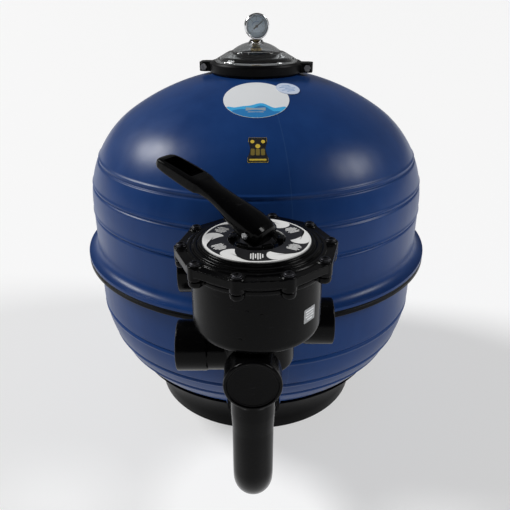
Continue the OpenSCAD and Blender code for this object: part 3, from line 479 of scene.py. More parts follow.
def dress_cad_nodes():
    """Gives every CAD node its slot's material, or its own."""
    for part in frame["record"]["subparts"]:
        piece = nodes[part["node"]]
        piece.data.materials.clear()
        slot_material = MATERIAL_OF_SLOT[part["material_slot"]]
        piece.data.materials.append(MATERIAL_OF_NODE.get(part["node"], slot_material))


# ---------------------------------------------------------------- tank
def shell_curve(knuckle_r, crown_r, knuckle_z, sign, inset, grooves, r_end, z_start):
    """Half outline of a shell from the waist to radius r_end; sign is +1 upward and -1 downward."""
    a = TANK_R - knuckle_r
    reach = math.sqrt((crown_r - knuckle_r) ** 2 - a * a)
    crown_z = knuckle_z - sign * reach
    turn = math.atan2(reach, a)
    points = []

    def radius_here(z):
        if sign * (z - knuckle_z) < 0:
            return TANK_R
        return a + math.sqrt(knuckle_r ** 2 - (z - knuckle_z) ** 2)

    step, fine = 4.0, 0.7
    spots = [(radius_here(z), z) for z in grooves]
    # Walk the straight wall, the knuckle and the crown with steps that shrink near a groove.
    s = 0.0
    wall = abs(knuckle_z - z_start)
    knuckle = knuckle_r * turn
    end_angle = math.acos(r_end / (crown_r - inset))
    crown = crown_r * (end_angle - turn)
    while True:
        if s < wall:
            r, z, nr, nz = TANK_R, z_start + sign * s, 1.0, 0.0
        elif s < wall + knuckle:
            t = (s - wall) / knuckle_r
            nr, nz = math.cos(t), sign * math.sin(t)
            r, z = a + knuckle_r * nr, knuckle_z + knuckle_r * nz
        else:
            t = turn + min(s - wall - knuckle, crown) / crown_r
            nr, nz = math.cos(t), sign * math.sin(t)
            r, z = crown_r * nr, crown_z + crown_r * nz
        near = min([math.dist((r, z), spot) for spot in spots] or [99.0])
        push = 0.0
        for spot_r, spot_z in spots:
            along = sign * ((z - spot_z) * nr - (r - spot_r) * nz) if inset == 0 else 99.0
            if math.dist((r, z), (spot_r, spot_z)) < 14 and inset == 0:
                push -= 2.0 * math.exp(-(along / 2.0) ** 2)
                push += 1.1 * math.exp(-((along - 5.0) / 2.2) ** 2)
        points.append((r + nr * (push - inset), z + nz * (push - inset)))
        if s >= wall + knuckle + crown:
            break
        s = min(s + (fine if near < 12 and inset == 0 else step), wall + knuckle + crown)
    return points


def add_pad(shell, where, r, hole_r, low, high, segments):
    """Adds a pad for a fitting to a shell and bores it through."""
    boolean(shell, lathe("boss", puck(r, low, high, 1, 2), segments, where), "UNION")
    boolean(shell, rod("hole", hole_r, low - 12, high + 16, segments, where), "DIFFERENCE")


def tank_shells():
    upper = (UPPER_KNUCKLE_R, UPPER_CROWN_R, UPPER_KNUCKLE_Z, 1)
    neck = 70.1
    cove = WAIST_R - TANK_R
    flange_top = WAIST_Z + 6
    outer = shell_curve(*upper, 0, UPPER_GROOVES, neck, flange_top + cove)
    inner = shell_curve(*upper, WALL, (), neck, WAIST_Z)
    flange = [(TANK_R - WALL, WAIST_Z), (WAIST_R - 1.2, WAIST_Z), (WAIST_R - 0.3, WAIST_Z + 0.6),
              (WAIST_R, WAIST_Z + 2), (WAIST_R, flange_top - 1.2), (WAIST_R - 0.4, flange_top)]
    flange += arc(WAIST_R, flange_top + cove, cove, -96, -178, 14)
    outline = flange + outer + list(reversed(inner))[:-1]
    shell = lathe("upper_shell_skin", outline, 192)
    add_pad(shell, along_minus_y(0, TOP_PORT_Z), PAD_R, FITTING_HOLE_R, 290, UPPER_PAD_Y, 72)
    place(shell, BLUE, "tank_blue", "tank", "upper_shell")

    lower = (LOWER_KNUCKLE_R, LOWER_CROWN_R, LOWER_KNUCKLE_Z, -1)
    outer = shell_curve(*lower, 0, LOWER_GROOVES, 0.01, WAIST_Z)
    inner = shell_curve(*lower, WALL, (), 0.01, WAIST_Z)
    outer[-1] = (0.0, outer[-1][1])
    inner[-1] = (0.0, inner[-1][1])
    shell = lathe("lower_shell_skin", outer + list(reversed(inner)), 192)
    add_pad(shell, along_minus_y(0, LOW_PORT_Z, TUBE_X), PAD_R, FITTING_HOLE_R, 252, LOWER_PAD_Y, 72)
    add_pad(shell, shift(0, 0, DRAIN_Z) @ spin(-90, "X"), 27, DRAIN_HOLE_R, 236, 288, 56)
    place(shell, BLUE, "tank_blue", "tank", "lower_shell")


def tank_trim():
    band = lathe("waist_band_ring", rounded([
        (TANK_R + 0.1, 303), (WAIST_R - 3, 303, 2.0), (WAIST_R, 306, 2.0), (WAIST_R, 311.5, 1.0),
        (WAIST_R - 1.2, 312.4, 0.6), (WAIST_R - 0.2, 313.4, 0.6), (WAIST_R - 0.2, WAIST_Z),
        (TANK_R + 0.1, WAIST_Z)]), 192)
    place(band, SATIN, "satin_black", "tank", "waist_band")
    cove = arc(202 + 88, 20, 88, 180, 123.5, 20)
    under = []
    a = TANK_R - LOWER_KNUCKLE_R
    for z in (92.5, 88, 84, 80):
        under.append((a + math.sqrt(LOWER_KNUCKLE_R ** 2 - (z - LOWER_KNUCKLE_Z) ** 2) + 0.05, z))
    crown_z = LOWER_KNUCKLE_Z + math.sqrt((LOWER_CROWN_R - LOWER_KNUCKLE_R) ** 2 - a * a)
    for r in (212, 200, 185):
        under.append((r, crown_z - math.sqrt(LOWER_CROWN_R ** 2 - r * r) - 0.05))
    base = [(185, 1.0), (186, 0), (200.5, 0), (201.7, 0.8), (202, 2)]
    foot = lathe("foot_ring_skin", base + cove + [(245.5, 93.0)] + under, 192)
    place(foot, SATIN, "satin_black", "tank", "foot_ring")


# ---------------------------------------------------------------- printed films
def on_crown(tilt, turn):
    """A surface function for the crown: u to the side and v up the slope, in mm, from a tilted centre."""
    a = TANK_R - UPPER_KNUCKLE_R
    crown_z = UPPER_KNUCKLE_Z - math.sqrt((UPPER_CROWN_R - UPPER_KNUCKLE_R) ** 2 - a * a)
    turned = spin(turn) @ spin(tilt, "X")

    def surface(u, v, lift):
        straight = Vector((u, v, math.sqrt(UPPER_CROWN_R ** 2 - u * u - v * v)))
        out = straight + straight.normalized() * lift
        return (turned @ out + Vector((0, 0, crown_z))) * 0.001
    return surface


def on_knuckle(x, z):
    """A surface function for the upper knuckle round a point x to the side and z high."""
    a = TANK_R - UPPER_KNUCKLE_R
    middle = math.asin((z - UPPER_KNUCKLE_Z) / UPPER_KNUCKLE_R)

    def surface(u, v, lift):
        slope = middle + v / UPPER_KNUCKLE_R
        r = a + (UPPER_KNUCKLE_R + lift) * math.cos(slope)
        turn = (x + u) / (a + UPPER_KNUCKLE_R * math.cos(middle))
        height = UPPER_KNUCKLE_Z + (UPPER_KNUCKLE_R + lift) * math.sin(slope)
        return Vector((r * math.sin(turn), -r * math.cos(turn), height)) * 0.001
    return surface


def on_body(turn, z):
    """A surface function for the valve body's wall, turned in degrees from straight ahead."""
    def surface(u, v, lift):
        a = math.radians(turn) + u / BODY_R
        r = BODY_R + lift
        return Vector((r * math.sin(a), -VALVE_Y - r * math.cos(a), z + v)) * 0.001
    return surface


def flat(placing):
    """A surface function for a flat face."""
    def surface(u, v, lift):
        return placing @ Vector((mm(u), mm(v), mm(lift)))
    return surface


def film(name, outline, surface, low, high, rings=8, centre=None):
    """A thin closed sheet laid on a surface; the outline is seen whole from its centre."""
    mu, mv = centre or tuple(sum(p[i] for p in outline) / len(outline) for i in (0, 1))
    bm = bmesh.new()
    layers = []
    for lift in (low, high):
        rows = []
        for k in range(rings, 0, -1):
            t = k / rings
            spots = [(mu + t * (u - mu), mv + t * (v - mv)) for u, v in outline]
            rows.append([bm.verts.new(surface(u, v, lift)) for u, v in spots])
        layers.append((rows, bm.verts.new(surface(mu, mv, lift))))
    n = len(outline)
    for rows, tip in layers:
        for a, b in zip(rows, rows[1:]):
            for k in range(n):
                bm.faces.new((a[k], a[(k + 1) % n], b[(k + 1) % n], b[k]))
        for k in range(n):
            bm.faces.new((rows[-1][k], rows[-1][(k + 1) % n], tip))
    low_rim, high_rim = layers[0][0][0], layers[1][0][0]
    for k in range(n):
        bm.faces.new((low_rim[k], low_rim[(k + 1) % n], high_rim[(k + 1) % n], high_rim[k]))
    return finish_mesh(name, bm)


def circle(r, steps=96, cx=0.0, cy=0.0):
    return arc(cx, cy, r, 0, 360 * (steps - 1) / steps, steps - 1)


def oval(rx, ry, steps=64):
    return [(rx * x, ry * y) for x, y in circle(1, steps)]


def bar(x, y, width, height, corner=0.4):
    """A rounded rectangle with its centre at (x, y)."""
    w, h = width / 2, height / 2
    r = min(corner, 0.45 * width, 0.45 * height)
    return rounded([(x - w, y - h, r), (x + w, y - h, r), (x + w, y + h, r), (x - w, y + h, r)], 3)


def turned(outline, angle):
    turn = Matrix.Rotation(math.radians(angle), 2)
    return [tuple(turn @ Vector(p)) for p in outline]


def stick(name, outline, surface, low, high, rings, material, slot, *replaced):
    place(film(name, outline, surface, low, high, rings), material, slot, "tank", *replaced)


def labels():
    crown = on_crown(21.0, 0.0)
    disc_r = 51.0
    stick("name_disc", circle(disc_r), crown, 0.05, 0.6, 12, LABEL_WHITE, "label_white", "name_label")

    def wave(u):
        swell = 4.2 * math.sin(math.radians(6.2 * u + 70))
        ripple = 1.8 * math.sin(math.radians(11.0 * u - 20))
        return -21.0 + swell + ripple

    edge = disc_r - 0.4
    reach = 43.0
    top = [(u, wave(u)) for u in [reach - 2 * reach * i / 40 for i in range(41)]]
    left = math.degrees(math.atan2(wave(-reach), -reach)) + 360
    right = math.degrees(math.atan2(wave(reach), reach)) + 360
    shore = arc(0, 0, edge, left, right, 40)
    sea = film("name_wave", top + shore, crown, 0.5, 0.68, 8, (0, -38.0))
    place(sea, INK_CYAN, "label_white", "tank")
    deep = [(u, min(v - 7.5 + 1.5 * math.sin(math.radians(9 * u)), v - 3)) for u, v in top[4:-4]]
    deep_left = math.degrees(math.atan2(deep[-1][1], deep[-1][0])) + 360
    deep_right = math.degrees(math.atan2(deep[0][1], deep[0][0])) + 360
    deep += arc(0, 0, edge - 0.2, deep_left, deep_right, 40)
    current = film("name_deep", deep, crown, 0.6, 0.72, 8, (0, -40.0))
    place(current, INK_DEEP, "label_white", "tank")
    plates = [film("plate", bar(-1, -30.5, 30, 7.5), crown, 0.6, 0.8, 4),
              film("rule", bar(-1, -37.5, 24, 2.2), crown, 0.6, 0.8, 4)]
    place(join("name_plate", plates), INK_GREY, "label_grey", "tank")

    side = on_crown(17.5, 25.0)
    stick("small_disc", oval(19, 19), side, 0.65, 1.2, 6, LABEL_PALE, "label_white", "small_label")
    lines = [film("line", bar(x, y, w, 1.3), side, 1.1, 1.28, 2)
             for x, y, w in ((0, 9, 14), (-3, 4.5, 20), (4, 0, 18), (-2, -4.5, 22), (1, -9, 14))]
    place(join("small_lines", lines), INK_DEEP, "label_white", "tank")

    knuckle = on_knuckle(2.0, 550.0)
    stick("square_back", bar(0, 0, 28, 42, 1.2), knuckle, 0.05, 0.6, 8, INK_YELLOW, "label_yellow",
          "square_label")
    stick("square_field", bar(0, 0.1, 27.4, 41.2, 0.8), knuckle, 0.5, 0.7, 8, INK_BLACK, "label_yellow")
    marks = [film("mark", circle(r, 24, x, y), knuckle, 0.62, 0.82, 2)
             for x, y, r in ((-8, 13.5, 3.0), (8, 13.5, 3.0), (0, 5.5, 3.6))]
    place(join("square_dots", marks), INK_YELLOW, "label_yellow", "tank")
    frame_bars = [film("mark", bar(x, -4.5, 5.6, 11, 1.6), knuckle, 0.62, 0.82, 3) for x in (-7.2, 0, 7.2)]
    place(join("square_bars", frame_bars), DULL_YELLOW, "label_yellow", "tank")
    stick("square_foot", bar(0, -17.0, 23, 2.6), knuckle, 0.62, 0.82, 3, INK_YELLOW, "label_yellow")

    wall = on_body(49.5, 422.0)
    stick("sticker_back", bar(0, 0, 20, 18, 1.0), wall, 0.05, 0.6, 6, LABEL_GREY, "label_grey",
          "body_sticker")
    rows = [film("row", bar(0, y, w, 1.6), wall, 0.5, 0.7, 2)
            for y, w in ((5.4, 15), (2.0, 13), (-1.4, 15), (-5, 9))]
    place(join("sticker_rows", rows), LABEL_WHITE, "label_white", "tank")


# ---------------------------------------------------------------- lid, clamp and gauge
def bolt_axis(where, side):
    return shift(0, 0, LID_Z) @ where @ shift(side * EAR_X, 0) @ spin(-90, "X")


def clamp():
    ridge, half_h, gap = 76.0, 9.5, 0.6
    groove = ridge + gap
    profile = rounded([
        (72.4, LID_Z - half_h, 0.6), (78.6, LID_Z - half_h, 1.2), (80, LID_Z - half_h + 2.5, 1.5),
        (80, LID_Z + 5.5, 1.5), (77.5, LID_Z + half_h, 1.4), (72.4, LID_Z + half_h, 0.6),
        (72.4, LID_Z + 8.2), (groove, LID_Z + 4.2), (groove, LID_Z - 4.2), (72.4, LID_Z - 8.2)], 3)
    for name, flip, body in (("clamp_front", 180, "front_clamp"), ("clamp_back", 0, "back_clamp")):
        where = spin(CLAMP_TURN) @ spin(flip)
        bits = [lathe("ring", profile, 96, where, 0.8, 178.4)]
        for side in (-1, 1):
            corners = ((77, 1.1, 1), (98.5, 1.1, 1.5), (98.5, 11.5, 3.5), (90, 15, 4), (74, 15.5, 4),
                       (73.2, 8, 2))
            ear = rounded([(side * x, y, r) for x, y, r in corners])
            bits.append(prism("ear", ear, LID_Z - 8, LID_Z + 8, where, 1.0))
            corners = ((62, 46, 1), (80, 15, 1), (76, 12, 1), (60, 44, 1))
            rib = rounded([(side * x, y, r) for x, y, r in corners], 3)
            for z in (-5.5, 3.5):
                bits.append(prism("rib", rib, LID_Z + z, LID_Z + z + 2.4, where, 0.5))
            bits.append(lathe("boss", puck(7.6, 8, 15.4, 1, 0.8), 40, bolt_axis(where, side)))
        piece = fuse(name + "_skin", bits, 0.8, 3)
        for side in (-1, 1):
            boolean(piece, rod("hole", 3.3, -5, 30, 32, bolt_axis(where, side)), "DIFFERENCE")
        place(piece, SATIN, "satin_black", body, name)


def lid():
    bell, bell_z, foot_r = 66.0, 610.0, 43.0
    wall = 4.0
    edge_z = LID_Z + 12
    top = math.degrees(math.acos(11 / bell))
    foot = math.degrees(math.acos(foot_r / bell))
    in_foot = math.degrees(math.acos(foot_r / (bell - wall)))
    inner = arc(0, bell_z, bell - wall, 84, in_foot, 20)
    inner += [(foot_r + 12, LID_Z + 15.0), (64.0, LID_Z + 8.6), (65.6, LID_Z + 6.0), (62.6, LID_Z + 3.0),
              (62.1, LID_Z)]
    outside = [(75.7, LID_Z), (76, LID_Z + 0.4), (76, LID_Z + 2.8), (71.9, LID_Z + 6.9),
               (71.5, LID_Z + 7.6), (71.5, edge_z - 1.8), (70.9, edge_z - 0.2), (69.6, edge_z + 0.7)]
    blend = [(foot_r + 16, edge_z + 6.6), (foot_r + 9, edge_z + 10.6), (foot_r + 3.6, edge_z + 13.2)]
    cap = arc(0, bell_z, bell, foot + 1.5, top - 2, 24)
    boss = [(12.2, 675.8), (11.2, 677.0), (11, 678.2), (10.4, 678.9), (6.6, 678.9), (6.6, 666), (11, 666),
            (11, bell_z + bell - wall - 0.9)]
    piece = lathe("lid_bell", inner + outside + blend + cap + boss, 144)
    place(piece, CLEAR, "clear_plastic", "lid", "lid_dome")


def gauge():
    face = shift(0, 0, GAUGE_Z) @ spin(GAUGE_TURN) @ ALONG_MINUS_Y
    can = rounded([(0, -9), (17.5, -9, 2.5), (20, -5.5, 2), (20, 5.8), (18.5, 5.8), (18.5, -6.6, 1),
                   (0, -7)])
    case = lathe("case_can", can, 96, face)
    stem = lathe("case_stem", [(1.8, 662.5), (2.9, 662.5), (2.9, 681.0), (1.8, 681.0)], 40)
    place(join("gauge_can", [case, stem]), CHROME, "gauge_steel", "lid", "gauge_case")
    bezel = lathe("gauge_rim", rounded([
        (20.05, 3.2), (20.9, 3.2, 0.4), (GAUGE_R, 7.2, 1.2), (20, 8.9, 1.2), (18.6, 9, 0.5), (18, 8.2, 0.2),
        (18, 6.3), (20.05, 6.3)]), 128, face)
    place(bezel, CHROME, "gauge_steel", "lid", "gauge_bezel")
    place(lathe("gauge_disc", rounded([(1.3, 1.5), (18.4, 1.5), (18.4, 2.5, 0.2), (1.3, 2.5)]), 96, face),
          DIAL, "dial_white", "lid", "gauge_dial")
    sheet = flat(face @ shift(0, 0, 2.5))
    start, span, steps = 225.0, 270.0, 30
    ticks = []
    for i in range(steps + 1):
        angle = start - span * i / steps
        long = i % 5 == 0
        mark = bar(15.4 - (1.4 if long else 0.8), 0, 2.8 if long else 1.5, 0.55 if long else 0.3, 0.1)
        ticks.append(film("tick", turned(mark, angle), sheet, -0.1, 0.06, 1))
    ticks.append(ring_film("scale", 15.4, 15.8, start - span, start, sheet, 0.06))
    for i in range(7):
        angle = math.radians(start - span * i / 6)
        ticks.append(number(str(i), 10.6 * math.cos(angle), 10.6 * math.sin(angle), 3.0, sheet))
    place(join("gauge_scale", ticks), INK_BLACK, "needle_black", "lid")
    zone = ring_film("zone", 7.4, 8.0, start - span * 0.62, start - span * 0.2, sheet, 0.05)
    place(zone, INK_DEEP, "dial_white", "lid")

    pointer = face @ spin(38)
    hub_outline = rounded([(0, 0), (1.1, 0), (1.1, 3.6), (2.3, 3.6, 0.2), (2.3, 4.5, 0.4), (0, 4.7)])
    hub = lathe("hub", hub_outline, 40, pointer)
    edge = [(-6.5, 1.1), (-2.2, 0.7), (0, 0.9), (14.6, 0.18)]
    hand = prism("hand", [(x, -y) for x, y in edge] + [(15, 0)] + edge[::-1], 3.7, 4.3, pointer)
    place(join("gauge_hand", [hub, hand]), INK_BLACK, "needle_black", "needle", "gauge_needle")
    lens = rounded([(0, 6.0), (17.9, 6.0), (17.9, 7.4, 0.3), (12, 7.9), (6, 8.2), (0, 8.3)])
    glass = lathe("gauge_glass", lens, 96, face)
    place(glass, CLEAR, "clear_plastic", "lid", "gauge_lens")


def ring_film(name, r_in, r_out, start, end, surface, high, low=-0.1, steps=64):
    """A printed stretch of ring."""
    bm = bmesh.new()
    rows = []
    for i in range(steps + 1):
        a = math.radians(start + (end - start) * i / steps)
        c, s = math.cos(a), math.sin(a)
        rows.append([bm.verts.new(surface(r * c, r * s, lift)) for r, lift in
                     ((r_in, low), (r_out, low), (r_out, high), (r_in, high))])
    for a, b in zip(rows, rows[1:]):
        for k in range(4):
            bm.faces.new((a[k], a[(k + 1) % 4], b[(k + 1) % 4], b[k]))
    bm.faces.new(rows[0])
    bm.faces.new(list(reversed(rows[-1])))
    return finish_mesh(name, bm)


def number(text, x, y, size, surface):
    """One dial number as a thin solid."""
    curve = bpy.data.curves.new("digits", "FONT")
    curve.body = text
    curve.size = size
    curve.align_x = "CENTER"
    curve.align_y = "CENTER"
    curve.extrude = 0.08
    curve.resolution_u = 3
    letter = bpy.data.objects.new("digits", curve)
    bpy.context.scene.collection.objects.link(letter)
    bpy.context.view_layer.update()
    mesh = bpy.data.meshes.new_from_object(letter.evaluated_get(bpy.context.evaluated_depsgraph_get()))
    bpy.data.objects.remove(letter)
    for v in mesh.vertices:
        v.co = surface(x + v.co.x, y + v.co.y, v.co.z - 0.02)
    bm = bmesh.new()
    bm.from_mesh(mesh)
    bmesh.ops.remove_doubles(bm, verts=bm.verts, dist=1e-6)
    return finish_mesh("digit", bm)


# ---------------------------------------------------------------- valve
def at_screw(i):
    a = math.radians(COVER_TURN + 360 * i / SCREWS)
    return shift(SCREW_RING_R * math.cos(a), SCREW_RING_R * math.sin(a) - VALVE_Y)


def along_x(x, y, z, toward=1):
    """Places a lathe so that its axis runs along +X, or along -X, from (x, y, z)."""
    return shift(x, y, z) @ spin(90 * toward, "Y")


def along_minus_y(y, z, x=0.0):
    return shift(x, -y, z) @ ALONG_MINUS_Y


def ten_sided():
    """The outline of the flange, with its corners at the screws."""
    r = 97
    turns = [math.radians(COVER_TURN + 360 / SCREWS * i) for i in range(SCREWS)]
    return rounded([(r * math.cos(a), r * math.sin(a), 5.0) for a in turns], 5)


def port(r, length, rim):
    """Outline of a pipe socket that ends at zero, thicker over the last stretch."""
    return rounded([(0, -length), (r - 1.2, -length), (r - 1.2, -rim, 1.5), (r, -rim + 1.5, 1),
                    (r, -1.2, 1.0), (r - 1.0, 0, 0.6), (0, 0)])


def valve_body():
    barrel = rounded([(0, BODY_Z), (72, BODY_Z, 3), (77.5, BODY_Z + 2.5, 3), (BODY_R, BODY_Z + 8, 4),
                      (BODY_R, COVER_Z - 4), (0, COVER_Z - 4)], 5)
    manifold = rounded([(0, 327), (43, 327, 4), (48, 331, 4), (48, BODY_Z + 5), (0, BODY_Z + 5)], 5)
    bits = [lathe("barrel", barrel, 128, VALVE),
            lathe("flange", puck(84, COVER_Z - 7, COVER_Z - 0.3, 2, 0.6), 128, VALVE),
            lathe("manifold", manifold, 96, VALVE)]
    for i in range(SCREWS):
        bits.append(lathe("lobe", puck(8.4, COVER_Z - 9, COVER_Z - 0.3, 4, 0.4), 40, at_screw(i)))
    bits.append(prism("web", [(-70, -6), (-20, -6), (-20, 6), (-70, 6)], PORT_Z, BODY_Z + 4, VALVE, 1.0))
    # The waste port, the port on the other side, and the pump port above.
    ports = ((port(32.5, 70, 40), along_x(-PORT_X, -VALVE_Y, PORT_Z, -1)),
             (port(32, 78, 40), along_x(PORT_X + 3, -SIDE_PORT_Y, PORT_Z, 1)),
             (port(31, 49, 38), along_x(-PORT_X, -SIDE_PORT_Y, PUMP_PORT_Z, -1)))
    bits += [lathe("port", outline, 96, where) for outline, where in ports]
    for x, z, r in ((26, PORT_Z, 30.6), (-52, PUMP_PORT_Z, 29.7)):
        ball = shift(x, -SIDE_PORT_Y)
        bits.append(lathe("ball", [(0, z - r)] + arc(0, z, r, -85, 85, 24) + [(0, z + r)], 64, ball))
    bits.append(rod("neck", 28.4, 0, 61.5, 64, along_minus_y(VALVE_Y, PORT_Z, TUBE_X)))
    bits.append(lathe("tail", rounded([(0, 0), (30, 0, 0.4), (30, 4, 0.4), (26, 4), (26, 76), (0, 76)]), 64,
                      along_minus_y(TAIL_START, TOP_PORT_Z)))
    piece = fuse("valve_barrel", bits, 1.1, 5)
    socket = [(0, 1), (SOCKET_R, 1), (SOCKET_R, -SOCKET_DEPTH), (BORE_R, -SOCKET_DEPTH), (BORE_R, -55),
              (0, -55)]
    bores = [lathe("bore", socket, 64, where) for outline, where in ports]
    bores += [rod("bore", BORE_R, -5, 40, 64, along_minus_y(TAIL_START, TOP_PORT_Z)),
              rod("chamber", CAVITY_R, SEAT_Z, 480, 96, VALVE)]
    for bore in bores:
        boolean(piece, bore, "DIFFERENCE")
    for i in range(SCREWS):
        boolean(piece, rod("hole", 5.6, 462.5, 475, 24, at_screw(i)), "DIFFERENCE")
    place(piece, GLOSS, "valve_black", "tank", "valve_body")
    marks = [film("mark", oval(2.2, 2.6, 24), on_body(turn, z), -0.2, 0.5, 2)
             for turn, z in ((-7.7, 440), (4.0, 436), (-13.6, 403))]
    place(join("body_marks", marks), GLOSS, "valve_black", "tank")


def valve_cover():
    top = COVER_TOP
    bits = [prism("plate", ten_sided(), top - 10, top, VALVE, 1.4),
            lathe("skirt", puck(85, COVER_Z, top - 8, 0.6), 128, VALVE)]
    ridges = [(0, top - 3), (82, top - 3), (82, top + 2, 1.0), (77.5, top + 2, 0.6), (77.5, top + 1.2, 0.3),
              (75, top + 1.2), (75, top + 4.5, 1.0), (70.5, top + 4.5, 0.5), (70.5, top + 3.6, 0.3),
              (68, top + 3.6), (68, top + 7, 1.0), (64.2, top + 7.4, 0.5), (64.2, top + 5.8),
              (33.5, top + 5.8), (33.5, top + 7, 0.5), (24, top + 6.2, 0.5), (24, top + 4), (0, top + 4)]
    bits.append(lathe("ridges", rounded(ridges, 3), 160, VALVE))
    for i in range(SCREWS):
        boss = rounded([(0, COVER_Z), (8.9, COVER_Z, 1.2), (8.9, top), (8.4, top + 2, 1.0), (0, top + 2)])
        bits.append(lathe("boss", boss, 48, at_screw(i)))
    for i in range(6):
        stop = rounded([(25, -6, 1), (32, -6.8, 1), (32, 6.8, 1), (25, 6, 1)], 3)
        turned_by = VALVE @ spin(HANDLE_TURN + (i + 0.5) * 60)
        bits.append(prism("stop", stop, top + 3, top + 11, turned_by, 0.8))
    piece = fuse("valve_lid", bits, 0.75, 3)
    bore = [(0, COVER_Z - 2), (CAVITY_R, COVER_Z - 2), (CAVITY_R, 478), (11.2, 478), (11.2, 520), (0, 520)]
    boolean(piece, lathe("bore", bore, 96, VALVE), "DIFFERENCE")
    for i in range(SCREWS):
        boolean(piece, rod("hole", 3.5, 460, 492, 24, at_screw(i)), "DIFFERENCE")
    place(piece, GLOSS, "valve_black", "tank", "valve_cover")


def cover_screws():
    head = rounded([(0, 488.0), (6.6, 488.0, 0.2), (6.6, 488.8, 0.3), (5.6, 489.0), (5.6, 490.4, 0.5),
                    (4.6, 491, 0.3), (3.0, 491), (2.6, 489.6), (0, 489.6)], 3)
    bits = []
    for i in range(SCREWS):
        bits.append(lathe("shank", puck(3.2, 464, 488.1, 0.8), 24, at_screw(i)))
        bits.append(lathe("head", head, 48, at_screw(i)))
    place(join("cover_bolts", bits), DARK_ZINC, "zinc_steel", "tank", "cover_screws")


def indicator():
    ring = [(PLATE_IN_R, 492), (PLATE_R, 492), (PLATE_R, PLATE_Z, 0.4), (PLATE_IN_R, PLATE_Z, 0.3)]
    plate = lathe("dial_ring", rounded(ring), 160, VALVE)
    place(plate, WHITE_INK, "label_white", "tank", "indicator_plate")
    sheet = flat(VALVE @ shift(0, 0, PLATE_Z))
    rim = PLATE_R - 2.4
    fields, texts, drops = [], [], []
    for i in range(6):
        middle = 60 * i + 30
        fields.append(ring_film("field", PLATE_IN_R + 0.3, rim, middle - 30, middle + 30, sheet, 0.05))
        for row, width in zip((-6.6, -4.0, -1.4, 1.2, 3.8, 6.4), (13, 16, 11, 16, 14, 9)):
            line = turned(bar(PLATE_IN_R + 13.5 + 0.1 * width, row, width, 1.35, 0.3), middle)
            texts.append(film("text", line, sheet, -0.05, 0.16, 1))
        # A drop: a round head at the start and a tail that thins out along the rim.
        start, low = middle - 38.0, PLATE_IN_R + 5.5
        centre = (low + rim) / 2
        half = (rim - low) / 2
        polar = [(centre + half * math.cos(math.pi * k / 12), start - 9.5 * math.sin(math.pi * k / 12))
                 for k in range(13)]
        polar += [(rim - 2 * half * (1 - k / 12) ** 1.6, start + 31.0 * k / 12) for k in range(1, 12)]
        polar += [(rim + 0.3, start + 31.0 * (1 - k / 12)) for k in range(13)]
        drop = [(q * math.cos(math.radians(a)), q * math.sin(math.radians(a))) for q, a in polar]
        a = math.radians(start + 1)
        core = (centre * math.cos(a), centre * math.sin(a))
        drops.append(film("drop", drop, sheet, -0.05, 0.16, 1, core))
    place(join("dial_fields", fields), INK_BLACK, "needle_black", "tank")
    place(join("dial_lines", texts), WHITE_INK, "label_white", "tank")
    place(join("dial_drops", drops), WHITE_INK, "label_white", "tank")


def handle():
    level = shift(0, -VALVE_Y, PIN_Z) @ spin(HANDLE_TURN)
    here = level @ spin(-HANDLE_RISE, "Y")
    # (distance along, height of the middle, half width, half height, squareness)
    stations = (
        (-17.0, -2.0, 10.0, 6.0, 2.4), (-16.0, -1.8, 14.5, 9.4, 2.6), (-13.4, -1.2, 18.2, 12.4, 2.8),
        (-8, -0.6, 20.8, 14.4, 3.0), (0, 0.2, 21.6, 15.0, 3.0), (10, 1.6, 21.4, 14.8, 2.9),
        (20, 3.0, 20.8, 14.0, 2.7), (32, 4.8, 19.4, 12.8, 2.5), (44, 6.5, 17.4, 11.2, 2.3),
        (56, 8.0, 15.8, 9.8, 2.4), (68, 9.1, 15.0, 8.6, 2.6), (79, 9.5, 15.4, 8.2, 3.2),
        (84, 9.3, 16.0, 8.3, 4.2), (88, 8.8, 17.2, 9.0, 5.0), (98, 8.4, 17.8, 8.9, 6.0),
        (112, 7.8, 17.8, 8.5, 6.5), (127, 7.1, 17.4, 8.1, 6.5), (140, 6.4, 16.8, 7.6, 6.0),
        (149, 5.9, 15.6, 7.0, 5.0), (153.2, 5.7, 13.4, 5.6, 4.0), (155, 5.6, 11.0, 4.0, 3.0))
    sections = []
    for x, z, w, h, n in stations:
        ring = []
        for k in range(64):
            a = 2 * math.pi * k / 64
            c, s = math.cos(a), math.sin(a)
            y = w * math.copysign(abs(c) ** (2 / n), c)
            q = h * math.copysign(abs(s) ** (2 / n), s)
            ring.append(here @ Vector((mm(x), mm(y), mm(z + q))))
        sections.append(ring)
    across = level @ spin(90, "X")
    piece = fuse("lever_skin", [loft("blade", sections)], 0.8, 4)
    slot = prism("slot", [(-12, -30), (17, -30), (12.2, 0), (-12, 0)], -11.5, 11.5, across)
    round_slot = rod("slot", 12.5, -11.6, 11.6, 64, across)
    under = prism("under", [(-60, -60), (60, -60), (60, 60), (-60, 60)], -60, -12.5, level)
    pin = rod("pin", 4.05, -30, 30, 32, across)
    panel_outline = rounded([(99, -12, 2), (145, -12, 2), (145, 12, 2), (99, 12, 2)])
    panel = prism("panel", panel_outline, 0, 30, here @ shift(0, 0, 25.0) @ spin(4.8, "Y"))
    for tool in (slot, round_slot, under, pin, panel):
        boolean(piece, tool, "DIFFERENCE")
    place(piece, GLOSS, "valve_black", "lever", "handle")


